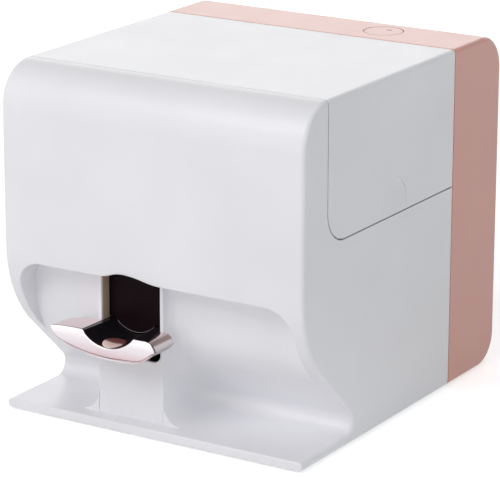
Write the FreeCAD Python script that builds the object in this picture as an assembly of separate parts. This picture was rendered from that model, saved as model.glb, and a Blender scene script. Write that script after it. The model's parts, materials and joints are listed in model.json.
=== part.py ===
import FreeCAD, Part
import math
import os

# Digital nail art printer, free standing.
# Frame: +X to the right, the front faces -Y, +Z up, millimetres, origin at the bottom centre.
# While modelling, y is the depth behind the housing's front plane; export shifts it once.

V = FreeCAD.Vector

# ------------------------------------------------------------------ housing
WIDTH = 194.0                 # side to side
DEPTH = 222.0                 # front plane to back plane
HEIGHT = 200.0                # table to top
LEVER_REACH = 12.0            # how far the lever stands ahead of the front plane
WALL = 2.8
FOOT_LIFT = 1.0               # the rubber feet hold the housing this far off the table
EDGE_R = 2.6                  # rounding of the side edges
FRONT_TOP_R = 24.0
REAR_TOP_R = 21.0
REAR_BOTTOM_R = 18.0
SEAM = 0.8                    # gap between outer panels
SEAM_EDGE_R = 0.3             # rounding of the panels along their seams

# front curve: a wide convex arc, a straight run, and a tight concave waist
CURVE_TOP_Z = 97.0
CURVE_R = 68.6
WAIST_R = 7.0
WAIST_DEPTH = 54.0
PLATE_TOP_Z = 6.5
PLATE_EDGE_R = 0.8

# hand recess
RECESS_SIDE = 8.0             # strip of front face left beside the recess
RECESS_TOP_Z = 89.0
RECESS_DEPTH = 18.0
RECESS_BLEND_R = 40.0
RECESS_CORNER_R = 16.0
RECESS_EDGE_R = 0.8
ARCH_X = -18.0                # rise of the recess edge over the finger opening
ARCH_RISE = 3.3
ARCH_LEFT = 16.0
ARCH_RIGHT = 26.0

# pillar with the finger opening
LEVER_X = -20.0               # centre of the finger groove
PILLAR_LEFT = 20.5            # groove's centre to the pillar's left side
PILLAR_RIGHT = 22.5
PILLAR_FACE = 9.6
PILLAR_EDGE_R = 0.9
PILLAR_FILLET = 6.0           # blend into the recess wall, at the top
PILLAR_FILLET_LOW = 12.0      # and below the bend of the wall
SLOT_LEFT = 18.0
SLOT_RIGHT = 20.5
SLOT_CORNER_R = 4.5
SLOT_EDGE_R = 0.5
SLOT_FLOOR_GAP = 2.5          # under the cradle when it is pressed right down
FINGER_ROOM = 16.0            # length of the open passage behind the recess

# panel seams
LID_FRONT = FRONT_TOP_R + 1.0
REAR_COVER_DEPTH = 57.0
FLAP_HEIGHT = 79.5
FLAP_CORNER_R = 18.0
SCOOP_BACK = 67.5             # rear seam to the middle of the thumb scoop
SCOOP_R = 14.0
SCOOP_HEIGHT = 20.5
SCOOP_DEPTH = 1.6

# lid hinge along the left edge
HINGE_R = 2.3
HINGE_DROP = 12.4             # top face to the hinge's axis
HINGE_PIN_R = 1.0
HINGE_FIT = 0.03
HINGE_GAP = 0.3
HINGE_MARGIN = (5.0, 7.0)     # from the front and the rear seam to the hinge bead's ends
KNUCKLE_INSET = 20.0          # from each seam to the lid's knuckle
KNUCKLE_LENGTH = 15.0
PIN_OVERHANG = 9.0            # how far a hinge pin runs past the lid's knuckle at each end

# rims behind the seams
RIM_DEPTH = 2.4
RIM_GAP = 0.3
LEDGE_DROP = 3.0              # thickness of the ledges under the tray
LEDGE_REACH = 5.0
LEDGE_INSET = (15.0, 45.0)    # left ledge from the front and the rear seam
RIB_INSET = 30.0              # outer lid ribs from the seams
RIB_THICK = 1.4
RIB_DROP = 4.0
RIB_START = 6.0
FRONT_RIM = (4.0, 6.0)         # rim under the lid, ahead of and behind its front seam
FRONT_RIM_ROOT = (5.0, 1.0)
HINGE_RIB_DROP = 18.0
MAGNET_TAB = (7.0, 14.0)      # reach and length of the housing's magnet holder
MAGNET_TAB_Z = (6.0, 5.0)     # below the flap and above the magnet
COVER_TONGUE = 6.0            # tongue of the rear cover inside the front housing
COVER_FIT = 0.2
TRAY_DROP = 16.3              # top face to the underside of the inner tray
TRAY_THICK = 2.2
TRAY_FRONT = 6.0
TRAY_SIDE_GAP = 1.0
TRAY_BACK_GAP = 8.0           # tray to the rear seam
TRAY_BORDER = (28.2, 6.0, 21.0)   # tray round its opening: left, right and rear, front
TRAY_LIP = 2.0
TRAY_COLLAR = 8.0
TRAY_CORNER_R = 3.0

# ------------------------------------------------------------------ finger lever and cradle
LEVER_TOP_Z = 61.2
LEVER_LEFT = 37.6             # reach from the groove's centre to the left tip
LEVER_RIGHT = 30.8            # reach to the rounded right end
LEVER_DROP = 14.8             # crown to underside
LEVER_PILLAR_GAP = 0.8
LEVER_REAR_CORNER_R = 13.0
BEZEL_THICK = 2.2
BEZEL_CROWN = 1.1             # how far the bezel's face falls back at its top and bottom
HORN_HALF = 17.0
SADDLE_DROP = 7.9
LEVER_TRAVEL = 6.0
CRADLE_INSET = 0.6            # cradle below the lever's top, and beside the opening
CRADLE_HEIGHT = 10.1
CRADLE_FLARE = (18.0, 26.0)   # half widths of the cradle behind the bezel
CRADLE_LENGTH = 70.4          # pillar face to the cradle's rear end
FINGER_STOP = 2.5
GROOVE_REAR_HALF = 14.0
GROOVE_REAR_DEPTH = 6.6
GROOVE_REAR_START = 16.5
PAD_SIZE = (12.0, 14.5)
PAD_RISE = 0.6
PAD_SHIFT = -0.8              # pad's centre beside the groove's centre
PAD_START = 0.3               # behind the bezel
LEVER_SCREW_SPREAD = 8.0
LEVER_SCREW_Y = 2.0
LEVER_SCREW_R = 1.0
LEVER_SCREW_LENGTH = 1.9
LEVER_SCREW_END = 0.1
BRACKET_START = 24.4          # pillar face to the bracket's front end
BRACKET_WIDE = 26.0
BRACKET_THICK = 4.0
BRACKET_ARM = 9.0
BRACKET_END = 2.0             # cradle past the bracket's rear end

# light-shield door hanging in the opening
DOOR_FACE = 16.5
DOOR_THICK = 2.0
DOOR_GAP = 0.5
DOOR_RISE = 2.2               # its hinge above the arch
DOOR_PIN_R = 1.0
DOOR_BARREL_R = 2.4
DOOR_PIVOT = 1.5              # how far its moulded pivots enter the ears
EAR_THICK = 2.5
EAR_MARGIN = (3.0, 4.0)       # ears behind the recess wall and above the pivots

# guides that carry the cradle
GUIDE_BACK = 12.0             # cradle's rear end to the guide rods
GUIDE_SPREAD = 28.0           # each guide rod to the groove's centre
GUIDE_R = 2.0
BUSH_R = 5.0
BUSH_REACH = (14.5, 12.3)     # bushing below and above the cradle's underside
SPRING_LENGTH = 22.0
SPRING_R = 3.8
SPRING_WIRE_R = 0.5
SPRING_TURNS = 7
SLIDE_FIT = 0.05
GUIDE_STOP_GAP = 0.3
FRAME_THICK = 3.0
FRAME_DEEP = 13.0
FRAME_REACH = 9.0             # frame beyond each guide rod
FRAME_TOP_REACH = 5.0         # its top tabs inside each guide rod
SPRING_SEAT_RIM = 1.4

# ------------------------------------------------------------------ print mechanism
SHEET = 2.0                   # thickness of the folded steel
BASE_THICK = 2.5
BASE_MARGIN = (3.4, 4.3)      # base plate behind the waist and ahead of the rear rounding
CHASSIS_ROOM = 8.2            # beside the chassis, for the base plate's screw bosses
NOZZLE_RISE = 11.3            # lever's top to the nozzles
GANTRY_ROOM = 49.5            # X rods to the chassis' rear face
CARTRIDGE_SIZE = (28.0, 53.5, 48.8)
SNOUT_SIZE = (13.0, 18.0, 4.2)
NOZZLE_THICK = 0.5
CARRIAGE_WALL = 2.0
CARTRIDGE_FIT = 0.4
CARRIAGE_GAP = 1.6            # parked carriage to the right block
BEARING_MARGIN = (2.6, 2.2)   # bearing block behind the cartridge and ahead of the belt
X_ROD_R = 2.5
X_ROD_SPREAD = 32.0
X_ROD_RISE = 27.5             # nozzles to the lower X rod
X_ROD_BACK = 8.5              # cartridge's back to the X rods
X_ROD_TUCK = 4.0              # how far an X rod enters each block
Y_ROD_R = 3.0
Y_ROD_SIDE = 11.0             # chassis' outer face to the Y rod
Y_ROD_OVER_BELT = 4.0
FLANGE = 16.0
TAB_MARGIN = 8.0
WINDOW_FRONT = 18.0
WINDOW_REAR = 22.0
WINDOW_Z = (24.0, 84.0)
WINDOW_R = 8.0
CHASSIS_LEAD = 2.0            # chassis ahead of the cartridge, and above the blocks
REAR_FRAME_LIFT = 12.0
POST_R = 3.0
BOARD_SCREW_R = 1.15
SCREW_R = 2.5
SCREW_DROP = 20.0             # Y rod to lead screw
BLOCK_WIDE = 18.5
BLOCK_OUTER_GAP = 3.5         # block to the chassis' outer face
BLOCK_REACH = (8.0, 13.0)     # block ahead of and behind the X rods
BLOCK_MARGIN = 8.0            # block above and below the X rods
BLOCK_R = 3.0
NUT_R = 6.0
NUT_FLANGE = (1.3, 2.0)
BELT_BACK = 7.4               # X rods to the belt's front edge
BELT_WIDE = 4.0
BELT_THICK = 1.0
STRIP_LEAD = 1.1              # encoder strip behind the belt's front edge
PULLEY_R = 6.0                # outside of the belt where it goes round
PULLEY_INSET = 9.0            # block to the pulley's axis
PULLEY_TEETH = 16
PULLEY_RIM_GAP = 0.35
PULLEY_FLANGE = 0.5
PULLEY_LIP = 0.8              # flange beyond the belt
PULLEY_PLAY = 0.3             # belt to each flange
TOOTH_GROOVE_R = 0.45
SHAFT_TUCK = 5.0              # motor shaft inside the motor
SHAFT_REACH = 1.7
SHAFT_CAP = 0.7
SHAFT_R = 1.5
SHAFT_CAP_RIM = 1.0
IDLER_NUT = (1.4, 2.0)        # rim and thickness
STRIP_RISE = (14.5, 21.0)     # encoder strip above the belt's middle
STRIP_TUCK = 2.0
STRIP_THICK = 0.3
STRIP_SLIT = 1.0
BEAM_LAP = 6.5                # steel beam behind each block
BEAM_MARGIN = 6.0
BEAM_LIP = 8.0
X_MOTOR_R = 11.0
X_MOTOR_FLAT = 9.5
X_MOTOR_LENGTH = 28.0
X_MOTOR_TAIL = (4.0, 2.0)     # radius and length
Y_MOTOR_R = 8.5
Y_MOTOR_LENGTH = 17.0
Y_MOTOR_PLUG = 9.0
SCREW_JOURNAL_R = 1.5
SCREW_NOSE = 5.0
COLLAR_LENGTH = 3.0
COLLAR_RIM = 1.5
LATCH_BACK = 4.5              # cartridge's back to the latch's hinge
LATCH_RISE = 16.0
LATCH_PIN_R = 1.5
LATCH_THICK = 2.4
CAMERA_SHELF = 18.0           # shelf beside the carriage
CAMERA_SIZE = (15.0, 18.0, 12.0)
CAMERA_SET_BACK = 1.0         # camera behind the middle of the snout
SHELF_THICK = 4.0
SHELF_RISE = 8.8              # cartridge's underside to the shelf
LENS_R = 3.4
CAP_GAP = 0.3
CAP_HEIGHT = 5.2
CAP_WIDE = 24.0
CAP_LENGTH = 26.0
CAP_WALL = 3.0
SEAL_WIDE = 18.0
SEAL_WALL = 1.5
SEAL_R = 2.5
CAP_LEAD = 4.0                # cap ahead of the cartridge
WIPER_THICK = 1.6
WIPER_GAP = 3.5
WASTE_PAD = (30.0, 52.0, 10.0)    # reach left of the parked nozzles, length, thickness
CARTRIDGE_R = 2.0
GRIP_SIZE = (12.0, 10.0)
HOLDER_DROP = 10.0            # carriage's side walls below the cartridge's top
SHELF_DEEP = 24.0
CLIP_OFFSET = -10.0           # belt clip beside the carriage's middle
CLIP_WIDE = 8.0
CLIP_THICK = 2.7
CLIP_GAP = 0.3
FORK_REACH = 3.0
FORK_HALF = 2.2
FORK_SLOT = 0.8
EAR_HALF = 5.0
LATCH_SIDE_GAP = 0.3
LENS_HEIGHT = 5.5             # lens above the shelf
LENS_DISH_R = 6.0
LAMP_BOARD_THICK = 1.4
LAMP_COUNT = 6
LAMP_RING_R = 6.8
LAMP_SIZE = 2.0

# ------------------------------------------------------------------ electronics and button
BUTTON_INSET = 58.0           # right side to the button's centre
BUTTON_BACK = 36.0            # back to the button's centre
BUTTON_R = 11.5
BUTTON_GAP = 0.35
BUTTON_TRAVEL = 1.5
BUTTON_CAP = 3.0
BUTTON_STEM_R = 4.0
BUTTON_STEM_GAP = 0.2
BUTTON_DROP = 11.5            # top face to the underside of the button's seat
BUTTON_SEAT = 1.6
BUTTON_GUIDE_WALL = 2.2
BUTTON_POST_R = 2.2
BUTTON_POST_SPREAD = (11.5, 9.0)
BUTTON_EDGE_R = 0.5
BUTTON_SPRING_R = 6.4
BUTTON_WIRE_R = 0.4
BUTTON_SPRING_TURNS = 4
SWITCH_BOARD = (28.0, 22.0)
SWITCH_SIZE = 6.0
SWITCH_HEIGHT = 1.5
PIPE_SIZE = (3.4, 1.2)
PIPE_SPOT = (1.7, 4.0)        # right of and behind the button's centre
PIPE_DEPTH = 1.6
BOARD_THICK = 1.6
SWITCH_BOARD_DROP = 4.5       # button's seat to the switch board
STANDOFF = 6.5
BOARD_SIZE = (130.0, 92.0)
BOARD_X = -5.0
BOARD_LOW_Z = 30.0
BOARD_POST_INSET = 5.0
JACK_INSET = (15.0, 12.0)     # board's lower left corner to the jack
JACK_R = 5.5
JACK_BORE_R = 3.2
JACK_PIN_R = 1.0
JACK_BLOCK = 13.0
JACK_ROOM = 0.3
JACK_SET_BACK = 0.6           # nose inside the rear cover's face
CAPACITOR = (3.4, 8.0)        # radius and height
CAPACITOR_ROW = 0.11          # share of the board's height
SOCKET_ROW = 0.89
PROCESSOR = (14.0, 14.0, 1.4)
MEMORY = (9.0, 12.0, 1.1)
REGULATOR = (6.0, 9.0, 1.5)
DRIVER = (8.0, 8.0, 1.5)
SOCKETS = ((22.0, 5.0, 5.0), (30.0, 5.0, 3.0), (12.0, 6.0, 6.0))
RADIO_BOARD = (16.0, 22.0, 0.8)
RADIO_CAN = (13.0, 14.0, 2.8)
BOARD_SCREW_HEAD = (2.6, 1.6)     # radius and height
BOARD_SCREW_LENGTH = 5.0
VENT_SIZE = (44.0, 2.6)
VENT_COUNT = 8
VENT_PITCH = 7.0
VENT_LOW_Z = 62.0
VENT_X = 44.0
BASE_VENT_COUNT = 6
BASE_VENT_X = -20.0
BASE_VENT_START = 67.8        # base plate's front end to its first vent
FOOT_R = 7.0
FOOT_SINK = 1.0               # recess that holds each rubber foot
FOOT_FIT = 0.1
FOOT_EDGE_R = 0.6
FOOT_INSET = (17.0, 14.0, 13.7)   # from the side, the front and the base plate's rear end
MAGNET_R = 3.0
MAGNET_THICK = 1.5
MAGNET_INSET = (36.0, 10.5)   # from the flap's front seam and its lower edge
SCREW_SHANK_R = 1.45
SCREW_HEAD = (2.5, 1.1)       # radius and height
SCREW_SINK = 1.2
SHANK_ROOM = 0.25
HEAD_ROOM = 0.2
BASE_SCREW_LENGTH = 9.0
BASE_SCREW_SIDE = 7.0
BASE_SCREW_INSET = (11.8, 9.0, 5.7)   # behind the plate's front, ahead of the seam and of its end
CHASSIS_SCREW_LENGTH = 3.2
CHASSIS_SCREW_SIDE = 8.0
CHASSIS_SCREW_INSET = (10.0, 23.5)    # from the chassis' front and rear ends
BOSS_R = 3.6
BOSS_HEIGHT = 14.0
BOSS_WEB = 3.0
BOSS_TOP = 4.0                # solid end above the screw's bore

# ------------------------------------------------------------------ worked out from the sizes above
FRONT_Y = (LEVER_REACH - DEPTH) / 2.0
SIDE_X = WIDTH / 2.0
INNER_X = SIDE_X - WALL
INNER_TOP_Z = HEIGHT - WALL
RECESS_HALF = SIDE_X - RECESS_SIDE
PILLAR_X = (LEVER_X - PILLAR_LEFT, LEVER_X + PILLAR_RIGHT)
SLOT_X = (LEVER_X - SLOT_LEFT, LEVER_X + SLOT_RIGHT)
ARCH_TOP_Z = RECESS_TOP_Z + ARCH_RISE
CRADLE_TOP_Z = LEVER_TOP_Z - CRADLE_INSET
CRADLE_BOTTOM_Z = CRADLE_TOP_Z - CRADLE_HEIGHT
SLOT_BOTTOM_Z = CRADLE_BOTTOM_Z - LEVER_TRAVEL - SLOT_FLOOR_GAP
LEVER_BACK = PILLAR_FACE - LEVER_PILLAR_GAP
CROWN_R = ((LEVER_DROP / 2.0) ** 2 + BEZEL_CROWN ** 2) / (2.0 * BEZEL_CROWN)
BEZEL_BACK = BEZEL_THICK - LEVER_REACH
LEVER_SCREW_X = (LEVER_X - LEVER_SCREW_SPREAD, LEVER_X + LEVER_SCREW_SPREAD)
CRADLE_END = PILLAR_FACE + CRADLE_LENGTH
GROOVE_REAR_FLOOR_Z = CRADLE_TOP_Z - GROOVE_REAR_DEPTH
DOOR_AXIS = (DOOR_FACE + DOOR_THICK / 2.0, ARCH_TOP_Z + DOOR_RISE)
GUIDE_Y = CRADLE_END - GUIDE_BACK
BUSH_Z = (CRADLE_BOTTOM_Z - BUSH_REACH[0], CRADLE_BOTTOM_Z + BUSH_REACH[1])
SPRING_FLOOR_Z = BUSH_Z[0] - SPRING_LENGTH
FRAME_TOP_Z = BUSH_Z[1] + GUIDE_STOP_GAP + FRAME_THICK

LID_REAR = DEPTH - REAR_COVER_DEPTH
FLAP_BOTTOM_Z = HEIGHT - FLAP_HEIGHT
SCOOP_Y = LID_REAR - SCOOP_BACK
SCOOP_TOP_Z = FLAP_BOTTOM_Z + SCOOP_HEIGHT
SCOOP_FADE_Z = FLAP_BOTTOM_Z + 1.0
HINGE_X = -SIDE_X + HINGE_R
HINGE_Z = HEIGHT - HINGE_DROP
HINGE_BEAD = (LID_FRONT + HINGE_MARGIN[0], LID_REAR - HINGE_MARGIN[1])
LID_KNUCKLES = (
    (LID_FRONT + KNUCKLE_INSET, LID_FRONT + KNUCKLE_INSET + KNUCKLE_LENGTH),
    (LID_REAR - KNUCKLE_INSET - KNUCKLE_LENGTH, LID_REAR - KNUCKLE_INSET),
)
TRAY_Z = HEIGHT - TRAY_DROP
MAGNET_Y = LID_FRONT + MAGNET_INSET[0]
MAGNET_Z = FLAP_BOTTOM_Z + MAGNET_INSET[1]

BASE_TOP_Z = FOOT_LIFT + BASE_THICK
BASE_FRONT = WAIST_DEPTH + WALL + BASE_MARGIN[0]
BASE_BACK = DEPTH - REAR_BOTTOM_R - BASE_MARGIN[1]
BASE_HALF = INNER_X - RIM_GAP
SCREW_SEAT_Z = FOOT_LIFT + SCREW_SINK
FOOT_X = SIDE_X - FOOT_INSET[0]
FRONT_FOOT_Y = FOOT_INSET[1]
REAR_FOOT_Y = BASE_BACK - FOOT_INSET[2]
BASE_VENT_Y = BASE_FRONT + BASE_VENT_START
BASE_SCREWS = tuple(
    (side * (SIDE_X - BASE_SCREW_SIDE), y)
    for y in (BASE_FRONT + BASE_SCREW_INSET[0], LID_REAR - BASE_SCREW_INSET[1], BASE_BACK - BASE_SCREW_INSET[2])
    for side in (-1, 1)
)

CHASSIS_X = INNER_X - CHASSIS_ROOM
Y_ROD_X = CHASSIS_X - Y_ROD_SIDE
BLOCK_X = (CHASSIS_X - BLOCK_OUTER_GAP - BLOCK_WIDE, CHASSIS_X - BLOCK_OUTER_GAP)
PULLEY_X = BLOCK_X[0] - PULLEY_INSET
CARRIAGE_HALF = CARTRIDGE_SIZE[0] / 2.0 + CARTRIDGE_FIT + CARRIAGE_WALL
PARK_X = BLOCK_X[0] - CARRIAGE_GAP - CARRIAGE_HALF
CARRIAGE_X = (PARK_X - CARRIAGE_HALF, PARK_X + CARRIAGE_HALF)
CAMERA_X = CARRIAGE_X[0] - CAMERA_SHELF / 2.0
SHELF_X = (CARRIAGE_X[0] - CAMERA_SHELF, CARRIAGE_X[0])
CLIP_X = (PARK_X + CLIP_OFFSET - CLIP_WIDE / 2.0, PARK_X + CLIP_OFFSET + CLIP_WIDE / 2.0)
WIPER_X = PARK_X - CAP_WIDE / 2.0 - WIPER_GAP

NOZZLE_Z = LEVER_TOP_Z + NOZZLE_RISE
CARTRIDGE_LOW_Z = NOZZLE_Z + NOZZLE_THICK + SNOUT_SIZE[2]
CARTRIDGE_Z = (CARTRIDGE_LOW_Z, CARTRIDGE_LOW_Z + CARTRIDGE_SIZE[2])
X_ROD_LOW_Z = NOZZLE_Z + X_ROD_RISE
X_ROD_TOP_Z = X_ROD_LOW_Z + X_ROD_SPREAD
BELT_Z = (X_ROD_LOW_Z + X_ROD_TOP_Z) / 2.0
STRIP_Z = (BELT_Z + STRIP_RISE[0], BELT_Z + STRIP_RISE[1])
Y_ROD_Z = BELT_Z + Y_ROD_OVER_BELT
SCREW_Z = Y_ROD_Z - SCREW_DROP
BLOCK_Z = (X_ROD_LOW_Z - BLOCK_MARGIN, X_ROD_TOP_Z + BLOCK_MARGIN)
LATCH_Z = CARTRIDGE_Z[1] + LATCH_RISE
HOLDER_TOP_Z = CARTRIDGE_Z[1] - HOLDER_DROP
SHELF_Z = (CARTRIDGE_Z[0] + SHELF_RISE, CARTRIDGE_Z[0] + SHELF_RISE + SHELF_THICK)
LENS_TOP_Z = SHELF_Z[1] + LENS_HEIGHT

CHASSIS_BACK = BASE_BACK - 0.2
X_ROD_Y = CHASSIS_BACK - GANTRY_ROOM
CARTRIDGE_Y = (X_ROD_Y - X_ROD_BACK - CARTRIDGE_SIZE[1], X_ROD_Y - X_ROD_BACK)
SNOUT_Y = (CARTRIDGE_Y[0], CARTRIDGE_Y[0] + SNOUT_SIZE[1])
CAMERA_Y = (SNOUT_Y[0] + SNOUT_Y[1]) / 2.0 + CAMERA_SET_BACK
CAP_Y = (CARTRIDGE_Y[0] - CAP_LEAD, CARTRIDGE_Y[0] - CAP_LEAD + CAP_LENGTH)
LATCH_Y = CARTRIDGE_Y[1] + LATCH_BACK
BLOCK_Y = (X_ROD_Y - BLOCK_REACH[0], X_ROD_Y + BLOCK_REACH[1])
BELT_Y = (X_ROD_Y + BELT_BACK, X_ROD_Y + BELT_BACK + BELT_WIDE)
BEARING_Y = (CARTRIDGE_Y[1] + BEARING_MARGIN[0], BELT_Y[0] - BEARING_MARGIN[1])
STRIP_Y = BELT_Y[0] + STRIP_LEAD
BEAM_Y = BLOCK_Y[1]
CHASSIS_Y = (CARTRIDGE_Y[0] - CHASSIS_LEAD, CHASSIS_BACK)
CHASSIS_TOP_Z = BLOCK_Z[1] + CHASSIS_LEAD
CHASSIS_SCREWS = tuple(
    (side * (CHASSIS_X - CHASSIS_SCREW_SIDE), y)
    for y in (CHASSIS_Y[0] + CHASSIS_SCREW_INSET[0], CHASSIS_Y[1] - CHASSIS_SCREW_INSET[1])
    for side in (-1, 1)
)
Y_MOTOR_FACE = CHASSIS_Y[1] - SHEET - Y_MOTOR_LENGTH
CAP_TOWER_TOP = NOZZLE_Z - CAP_GAP - CAP_HEIGHT

BUTTON_X = SIDE_X - BUTTON_INSET
BUTTON_Y = DEPTH - BUTTON_BACK
BUTTON_FLOOR_Z = HEIGHT - BUTTON_DROP
SWITCH_BOARD_Z = (BUTTON_FLOOR_Z - SWITCH_BOARD_DROP - BOARD_THICK, BUTTON_FLOOR_Z - SWITCH_BOARD_DROP)
BUTTON_POSTS = tuple((BUTTON_X + side * BUTTON_POST_SPREAD[0], BUTTON_Y + side * BUTTON_POST_SPREAD[1])
                     for side in (-1, 1))
PIPE_X = (BUTTON_X + PIPE_SPOT[0], PIPE_SIZE[0])
PIPE_Y = (BUTTON_Y + PIPE_SPOT[1], PIPE_SIZE[1])
BOARD_Y = CHASSIS_Y[1] + STANDOFF
BOARD_BACK = BOARD_Y + BOARD_THICK
BOARD_LEFT = BOARD_X - BOARD_SIZE[0] / 2.0
BOARD_POSTS = tuple(
    (BOARD_X + side * (BOARD_SIZE[0] / 2.0 - BOARD_POST_INSET), z)
    for side in (-1, 1)
    for z in (BOARD_LOW_Z + BOARD_POST_INSET, BOARD_LOW_Z + BOARD_SIZE[1] - BOARD_POST_INSET)
)
JACK_X = BOARD_LEFT + JACK_INSET[0]
JACK_Z = BOARD_LOW_Z + JACK_INSET[1]


# ------------------------------------------------------------------ helpers
def box(x, y, z):
    return Part.makeBox(x[1] - x[0], y[1] - y[0], z[1] - z[0], V(x[0], y[0], z[0]))


def around(middle, size):
    return (middle - size / 2.0, middle + size / 2.0)


def ordered(a, b):
    return (min(a, b), max(a, b))


def is_upright(edge):
    box_ = edge.BoundBox
    return box_.XLength < 1e-6 and box_.YLength < 1e-6


def rod(axis, span, centre, radius):
    """Cylinder along an axis; centre holds the other two coordinates in x, y, z order."""
    a, b = centre
    base, direction = {
        "x": (V(span[0], a, b), V(1, 0, 0)),
        "y": (V(a, span[0], b), V(0, 1, 0)),
        "z": (V(a, b, span[0]), V(0, 0, 1)),
    }[axis]
    return Part.makeCylinder(radius, span[1] - span[0], base, direction)


def tube(axis, span, centre, outer, inner):
    return rod(axis, span, centre, outer).cut(rod(axis, span, centre, inner))


def join(first, *others):
    return first.multiFuse(list(others)).removeSplitter()


def cut(shape, *tools):
    for tool in tools:
        shape = shape.cut(tool)
    return shape


def prism(plane, span, start, *steps):
    """Solid between two parallel planes; a step is (a, b) or an arc (via a, via b, a, b)."""
    def point(a, b):
        return {"yz": V(span[0], a, b), "xz": V(a, span[0], b), "xy": V(a, b, span[0])}[plane]

    edges = []
    here = point(*start)
    for step in steps + (start,):
        there = point(*step[-2:])
        if here.distanceToPoint(there) < 1e-6:
            continue
        if len(step) == 4:
            edges.append(Part.Arc(here, point(*step[:2]), there).toShape())
        else:
            edges.append(Part.LineSegment(here, there).toShape())
        here = there
    reach = span[1] - span[0]
    direction = {"yz": V(reach, 0, 0), "xz": V(0, reach, 0), "xy": V(0, 0, reach)}[plane]
    return Part.Face(Part.Wire(edges)).extrude(direction)


def polar(centre, radius, degrees):
    turn = math.radians(degrees)
    return (centre[0] + radius * math.cos(turn), centre[1] + radius * math.sin(turn))


def arc_to(centre, radius, start_deg, end_deg):
    """Arc step of a prism: its middle point and its end point."""
    return polar(centre, radius, (start_deg + end_deg) / 2.0) + polar(centre, radius, end_deg)


def round_edges(shape, radius, wanted):
    return shape.makeFillet(radius, [edge for edge in shape.Edges if wanted(edge)])


def screw(x, y, length):
    """Pan-head screw driven up through the base plate, its head sunk from below."""
    head_r, head_h = SCREW_HEAD
    head = rod("z", (SCREW_SEAT_Z - head_h, SCREW_SEAT_Z), (x, y), head_r)
    shank = rod("z", (SCREW_SEAT_Z, SCREW_SEAT_Z + length), (x, y), SCREW_SHANK_R)
    drive = rod("z", (SCREW_SEAT_Z - head_h, SCREW_SEAT_Z - head_h / 2.0), (x, y), head_r / 2.5)
    return join(head, shank).cut(drive)


def coil(centre, bottom, top, radius, wire_r, turns):
    """Compression spring: round wire along a helix, its ends inside bottom and top."""
    rise = top - bottom - 2.0 * wire_r
    path = Part.makeLongHelix(rise / turns, rise, radius)
    section = Part.Wire(Part.makeCircle(wire_r, V(radius, 0, 0), V(0, 1, 0)))
    spring = Part.Wire(path.Edges).makePipeShell([section], True, True)
    return spring.translated(V(centre[0], centre[1], bottom + wire_r))


# ------------------------------------------------------------------ front curve geometry
def front_tangent():
    """Normal angle of the straight run that joins the big front arc to the waist."""
    big = (CURVE_R, CURVE_TOP_Z)
    small = (WAIST_DEPTH - WAIST_R, PLATE_TOP_Z + WAIST_R)
    across = (small[0] - big[0], small[1] - big[1])
    spread = math.hypot(*across)
    heading = math.degrees(math.atan2(across[1], across[0]))
    lean = math.degrees(math.acos(-(CURVE_R + WAIST_R) / spread))
    return big, small, heading + lean


BIG_ARC, WAIST, NORMAL_DEG = front_tangent()
NORMAL_DEG = (NORMAL_DEG + 180.0) % 360.0 - 180.0


def recess_blend():
    """Centre of the arc that leads the recess's back wall into the straight run."""
    normal = polar((0.0, 0.0), 1.0, NORMAL_DEG)
    foot = polar(BIG_ARC, -CURVE_R, NORMAL_DEG)
    depth = RECESS_DEPTH + RECESS_BLEND_R
    height = foot[1] + (RECESS_BLEND_R - (depth - foot[0]) * normal[0]) / normal[1]
    return (depth, height)


BLEND = recess_blend()


def body_block():
    """Full outer form of the closed machine, before it is hollowed and split."""
    top = HEIGHT
    low = FOOT_LIFT
    form = prism(
        "yz", (-SIDE_X, SIDE_X),
        (0.0, low),
        (0.0, PLATE_TOP_Z),
        (WAIST[0], PLATE_TOP_Z),
        arc_to(WAIST, WAIST_R, -90.0, NORMAL_DEG),
        polar(BIG_ARC, -CURVE_R, NORMAL_DEG),
        arc_to(BIG_ARC, CURVE_R, NORMAL_DEG + 180.0, 180.0),
        (0.0, top - FRONT_TOP_R),
        arc_to((FRONT_TOP_R, top - FRONT_TOP_R), FRONT_TOP_R, 180.0, 90.0),
        (DEPTH - REAR_TOP_R, top),
        arc_to((DEPTH - REAR_TOP_R, top - REAR_TOP_R), REAR_TOP_R, 90.0, 0.0),
        (DEPTH, low + REAR_BOTTOM_R),
        arc_to((DEPTH - REAR_BOTTOM_R, low + REAR_BOTTOM_R), REAR_BOTTOM_R, 0.0, -90.0),
    )

    def side_edge(edge):
        box_ = edge.BoundBox
        return box_.XLength < 1e-6 and box_.ZMax > PLATE_TOP_Z + 1e-6

    return round_edges(form, EDGE_R, side_edge)


def recess_cutter():
    """Hand recess: a side profile and a front outline, both swept and intersected."""
    end = polar(BLEND, -RECESS_BLEND_R, NORMAL_DEG)
    ahead = -5.0
    side = prism(
        "yz", (-RECESS_HALF, RECESS_HALF),
        (ahead, RECESS_TOP_Z),
        (RECESS_DEPTH, RECESS_TOP_Z),
        (RECESS_DEPTH, BLEND[1]),
        arc_to(BLEND, RECESS_BLEND_R, 180.0, 180.0 + NORMAL_DEG),
        (ahead, end[1]),
    )
    low = 0.0
    inner = RECESS_HALF - RECESS_CORNER_R
    shoulder = RECESS_TOP_Z - RECESS_CORNER_R
    front = prism(
        "xz", (ahead, RECESS_DEPTH + RECESS_BLEND_R),
        (-RECESS_HALF, low),
        (-RECESS_HALF, shoulder),
        arc_to((-inner, shoulder), RECESS_CORNER_R, 180.0, 90.0),
        (inner, RECESS_TOP_Z),
        arc_to((inner, shoulder), RECESS_CORNER_R, 90.0, 0.0),
        (RECESS_HALF, low),
    )
    return side.common(front)


def s_bend(start, end):
    """Two equal arcs from start up or down to end, level at both ends."""
    wide = end[0] - start[0]
    rise = end[1] - start[1]
    quarter = (start[0] + wide / 4.0, start[1] + rise * 0.134)
    half = (start[0] + wide / 2.0, start[1] + rise / 2.0)
    late = (start[0] + wide * 0.75, start[1] + rise * 0.866)
    return quarter + half, late + end


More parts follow.
